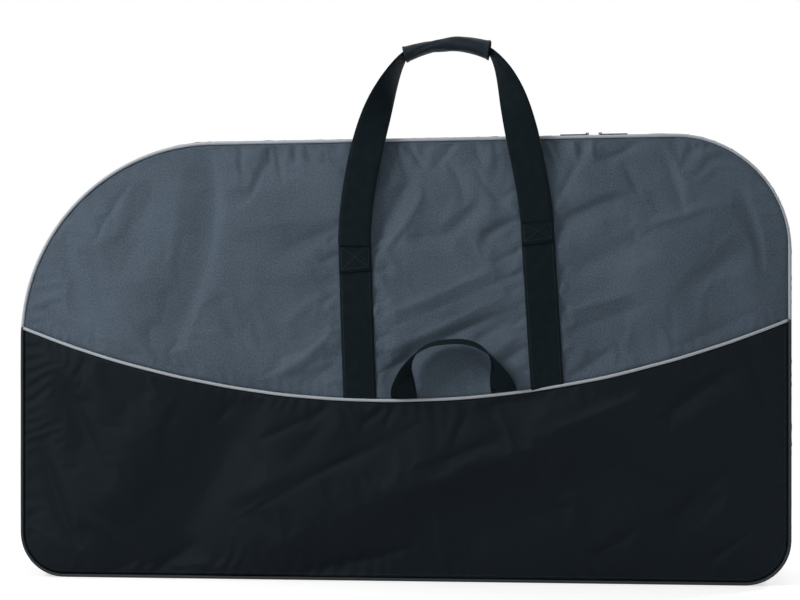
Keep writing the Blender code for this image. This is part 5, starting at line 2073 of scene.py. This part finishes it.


# The front's folds, placed where the photograph shows them. Short gathers hang from the
# top piping: place, lean and length (cm), and height (mm).
TOP_GATHERS = (
    (-25, 0.5, 6, -2.5), (-20.5, 0.5, 4, -3.4), (-19.5, 1.5, 6.5, -4.4), (-17.5, 0.5, 3, 1.5),
    (-16.5, 0.5, 3.5, -3.1), (-15.5, 0.5, 2.5, 1.4), (-14.5, 1, 4, -2.9), (-12.5, 0.5, 3, 1.4),
    (-11, 1, 4, -2), (-1, 2.5, 6, -3.7), (0, 0.5, 3, 1.9), (1, 3, 4.5, -4.1),
    (2.5, 0.5, 3, 1.5), (9, -4, 5, -3.1), (11.5, 1.5, 4, -3.4), (14, 0.5, 3.5, 1.5),
    (22.5, 2, 3.5, 4.4), (24, 1, 3, -3.4), (26.5, 1, 3.5, 4.8), (28, 0.5, 3, -3.1),
    (29.5, 0.5, 3.5, 5.4), (44.5, 0.5, 3, -2.4), (47, -1, 4, 2.4),
)
# Longer folds: start and end in x and z (cm), width and height (mm), then how much wider the
# left or lower side is and the bow (mm), where the fold has them.
GREY_FOLDS = (
    (-30, 67, -30, 49.5, 12, -7.5, 3.2, 12), (-30, 51, -35.5, 36.5, 15, -5.4, 2.4, 5),
    (-34, 64, -35.5, 49.5, 14, 2.7), (-20, 66, -24, 58, 7, -1.9, 1.6),
    (-18, 51.5, -9.5, 55, 18, -4.4, 1.2, -3), (-27, 43.5, -25, 36, 14, -2.2, 1.3),
    (-23, 42.5, -21, 36.5, 11, -2), (-20, 31.5, -8.5, 41, 8, 3.4, 1.8, -11),
    (-19.5, 34, -15, 36, 8, -2), (-12.5, 46, -9.5, 47.5, 5, -1.7),
    (-12, 43, -9.5, 44.5, 5, -1.4), (-15, 30, -8.5, 35.5, 12, -2.4, 1, -3),
    (-4, 53.5, 2.5, 64, 15, -7.5, 1.4, -5), (3.5, 59.5, -2, 51.5, 9, 3.4, 1, 3),
    (7.5, 65, 10, 59.5, 8, -1.5, 1, 5), (2, 53, 8, 53, 14, -5.8, 1, 3),
    (7, 53, 13, 58.5, 12, -5.1, 1.2), (12, 63, 16.5, 58.5, 5, -1.5, 1, -3),
    (16.5, 59, 19, 56, 6, 5.4), (12.5, 53, 19, 56, 8, -7.1, 1.2, 3),
    (15, 49.5, 19.5, 51.5, 6, -3.1), (15.5, 46.5, 19.5, 48, 5, -2),
    (-4.5, 52, -1.5, 54, 5, -2.5), (-4, 47, -1, 49, 5, -2.5), (-4, 43, -1, 44, 5, -1.5),
    (-3, 40.5, 18, 49.5, 11, 1.7), (-3, 38.5, 18.5, 47.5, 9, -1.5), (3.5, 38, 18.5, 45, 9, 1.5),
    (-3.5, 31.5, 19.5, 42.5, 8, -6.8, 2.2, 11), (-2, 35.5, 8.5, 40, 12, 2.7),
    (11, 36.5, 19.5, 41.5, 9, -4.4, 1.6, 3), (15, 35.5, 19.5, 39, 8, 2.7),
    (14.5, 33, 20, 36.5, 9, -5.1, 1.3), (7, 30, 13, 35, 11, 2.7),
    (30.5, 65, 37, 68, 6, -4.8, 1, -5), (34.5, 65, 37, 59.5, 5, -2),
    (23.5, 54.5, 36, 59.5, 9, -6.1, 2.2, 8), (24.5, 59, 27.5, 64.5, 7, -2.5),
    (24.5, 46, 38, 53, 22, -6.5, 1.2, 5), (35.5, 53.5, 38.5, 49.5, 9, -3.1),
    (25, 44, 26.5, 40, 7, -2.5), (25.5, 41.5, 37.5, 45, 11, 2), (26.5, 39, 38, 43, 9, -3.4, 1.3),
    (26, 31.5, 33.5, 36.5, 9, -5.1, 1.4), (29, 35.5, 31, 32.5, 5, -1.7),
    (33.5, 37.5, 34.5, 34, 5, -1.7), (31, 31, 37, 34.5, 11, 2.4),
)
BLACK_FOLDS = (
    (-28.5, 1, 37, 25.5, 71, 14.3, 0.5, 22), (-21.5, -1.5, 38.5, 17.5, 62, -6, 1, 15),
    (-22.5, 29, -37.5, 1, 52, -14.6, 2.2), (-9, 23.5, -18.5, 9.5, 92, 3.7),
    (-31.5, 28, -43.5, 15.5, 46, 2.5), (-24, 10, 2, 24, 5, -1.5, 1.8, 5),
    (-15, 16, -1, 21.5, 8, -1.4), (-21, 22, -10.5, 27, 9, -1.5), (-26.5, 12.5, -15, 17.5, 14, 2),
    (-2, 27, -6, 24, 6, -3.4, 1.2), (-0.5, 27.5, -2, 24, 5, -3.1), (-3, 27.5, -5, 26, 5, 2.4),
    (13, 27, 23.5, 29, 12, -6.1), (-17.5, 18.5, -10, 25, 12, -2, 1.4),
    (-38, 1.5, -31, 6, 12, -3.7, 1.2), (3.5, 17.5, 19, 23.5, 12, -3.1, 1.4),
    (20.5, 22, 37, 29, 12, 3.1, 1.4), (25, 15, 37.5, 20.5, 22, -3.1, 1.4),
    (5, 3.5, 31, 13, 31, -3.7, 1.2, 9), (-15, 1, 3.5, 5.5, 12, -3.4), (11, 26.5, 8.5, 22, 6, -2.4),
    (15.5, 27, 17.5, 22, 7, 2.2), (-10.5, 27.5, -14.5, 24, 8, -2.7),
    (-26, 27.5, -28.5, 24.5, 8, -2.4), (29.5, 4, 37, 8.5, 12, -3.1),
)
# Folds of the same kind beyond the photograph's edges.
END_FOLDS = (
    (-39, 60.5, -45, 45, 12, -4.1, 2, 6), (-42.5, 61.5, -48, 53, 6, -2.7, 1.6),
    (-53, 53, -47.5, 39, 12, -3.7, 1.6, -6), (-45.5, 43.5, -39.5, 35.5, 11, 2.7, 1, 5),
    (-56.5, 43.5, -51.5, 36.5, 8, -2.5), (40.5, 66.5, 43.5, 56.5, 7, -3.1, 1.6, 5),
    (41.5, 43.5, 53.5, 51, 14, -4.4, 1.4, 6), (43, 36.5, 55, 42, 9, -3.1, 1.4),
    (52, 60.5, 55.5, 49.5, 8, -3.4, 1.5, 5), (38.5, 55, 48, 58, 9, 2.2),
    (-53, 31, -47.5, 17, 14, -4.4, 1.6, 6), (-56.5, 21.5, -51, 5, 12, -3.7, 1.3, -5),
    (-47.5, 9, -39, 3, 12, 3.1), (40.5, 25.5, 54, 34.5, 12, -4.4, 1.4, 6),
    (40, 7, 52, 18, 18, -5.4, 1.3, 8), (46, 2.5, 56.5, 10.5, 11, -3.1),
    (52.5, 37.5, 56.5, 25.5, 9, -3.1, 1.3, 3),
)


def front_folds(form: BagForm) -> tuple[Fold, ...]:
    """Make the front's folds from the given lists."""
    folds = []
    for x, lean, length, height in TOP_GATHERS:
        top = form.top_line(x * CM) - form.panel_inset
        folds.append(Fold((x * CM, top), ((x + lean) * CM, top - length * CM), 5.0 * MM,
                          height * MM))
    folds += [Fold.from_row(*row) for row in GREY_FOLDS + BLACK_FOLDS + END_FOLDS]
    return tuple(folds)


def strap_pinches(form: BagForm, plans: Sequence[StrapPlan], seed: int) -> tuple[Fold, ...]:
    """Draw the short folds that sewn straps pull into the cloth beside them.

    Args:
        form: the bag's form.
        plans: where the straps are.
        seed: fixed number for the choice.

    Returns:
        The folds, which rise to the right as the straps' pull does.
    """
    chooser = random.Random(seed)
    folds = []
    for plan in plans:
        foot = float(form.seam(plan.foot_x))
        for side in (-1.0, 1.0):
            z = foot + 0.03
            while z < plan.hinge[1] + 0.02:
                share = (z - foot) / (plan.hinge[1] - foot)
                x = plan.foot_x + (plan.hinge[0] - plan.foot_x) * share + side * 0.0262
                lean = chooser.gauss(0.5, 0.3)
                reach = side * chooser.uniform(0.012, 0.032)
                end = (x + math.cos(lean) * reach, z + math.sin(lean) * reach)
                height = chooser.choice((-1.0, -1.0, 1.0)) * chooser.uniform(1.6, 3.4)
                folds.append(Fold((x, z), end, chooser.uniform(3.6, 6.0) * MM, height * MM))
                z += chooser.uniform(0.020, 0.042)
    return tuple(folds)


def scattered_folds(seed: int, count: int) -> tuple[Fold, ...]:
    """Spread soft folds, drawn from a seed, over a wall that the photograph doesn't show."""
    chooser = random.Random(seed)
    folds = []
    for _ in range(count):
        x = chooser.uniform(-0.52, 0.52)
        z = chooser.uniform(0.08, 0.62)
        lean = chooser.gauss(0.0, 0.5) + (math.pi / 2.0 if abs(x) > 0.3 else 0.5)
        reach = chooser.uniform(0.04, 0.13)
        height = chooser.choice((-1.0, -1.0, 1.0)) * chooser.uniform(1.6, 5.0) * MM
        width = chooser.uniform(6.0, 18.0) * MM
        dx, dz = math.cos(lean) * reach, math.sin(lean) * reach
        folds.append(Fold((x - dx, z - dz), (x + dx, z + dz), width, height,
                          bow=chooser.uniform(-0.012, 0.012)))
    return tuple(folds)


LEFT_HINGE_X, RIGHT_HINGE_X = -0.067, 0.2135


def strap_plans(left_top: float, right_top: float) -> tuple[StrapPlan, ...]:
    """Plan a wall's two straps, with tops at two heights."""
    return (StrapPlan("left", -0.059, (LEFT_HINGE_X, left_top), 0.046),
            StrapPlan("right", 0.230, (RIGHT_HINGE_X, right_top), 0.039))


def main() -> None:
    """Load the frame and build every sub-assembly in order."""
    logging.basicConfig(level=logging.INFO, format="%(message)s")
    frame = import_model()
    form = BagForm()
    front_straps = strap_plans(0.525, 0.561)
    rear_straps = strap_plans(0.543, 0.543)
    front = PaddedWall(form, Side.FRONT, front_folds(form)
                       + strap_pinches(form, front_straps, 5), 0.0042, 1.0, front_straps)
    rear = PaddedWall(form, Side.REAR, scattered_folds(17, 34)
                      + strap_pinches(form, rear_straps, 6), 0.0058, 2.0, rear_straps)
    front.build()
    rear.build()
    SideWall(form).build()
    SewnStraps(front, front_straps, 0.1283).build()
    SewnStraps(rear, rear_straps, 0.0).build()
    CarryLoop(Side.FRONT, (LEFT_HINGE_X, -0.1429045, 0.525),
              (RIGHT_HINGE_X, -0.1408802, 0.561)).build()
    CarryLoop(Side.REAR, (LEFT_HINGE_X, 0.1418856, 0.543), (RIGHT_HINGE_X, 0.1420566, 0.543),
              swing=-math.radians(168.0)).build()
    GrabLoop(form, front).build()
    for side in Side:
        WheelPocket(form, side).build()
    solids = [RoundedSolid(f"{kind}_{word}", f"zip_{kind}_{word}", PAINTED_ZINC,
                           f"{kind}_{word}", rounding)
              for word in ("left", "right")
              for kind, rounding in (("slider", 0.35 * MM), ("pull", 0.4 * MM))]
    solids.append(RoundedSolid("base_board", "stiffener_board", STIFFENER, "bag", 0.8 * MM))
    for solid in solids:
        solid.build(frame["nodes"])
    Studio().build()


if __name__ == "__main__":
    main()
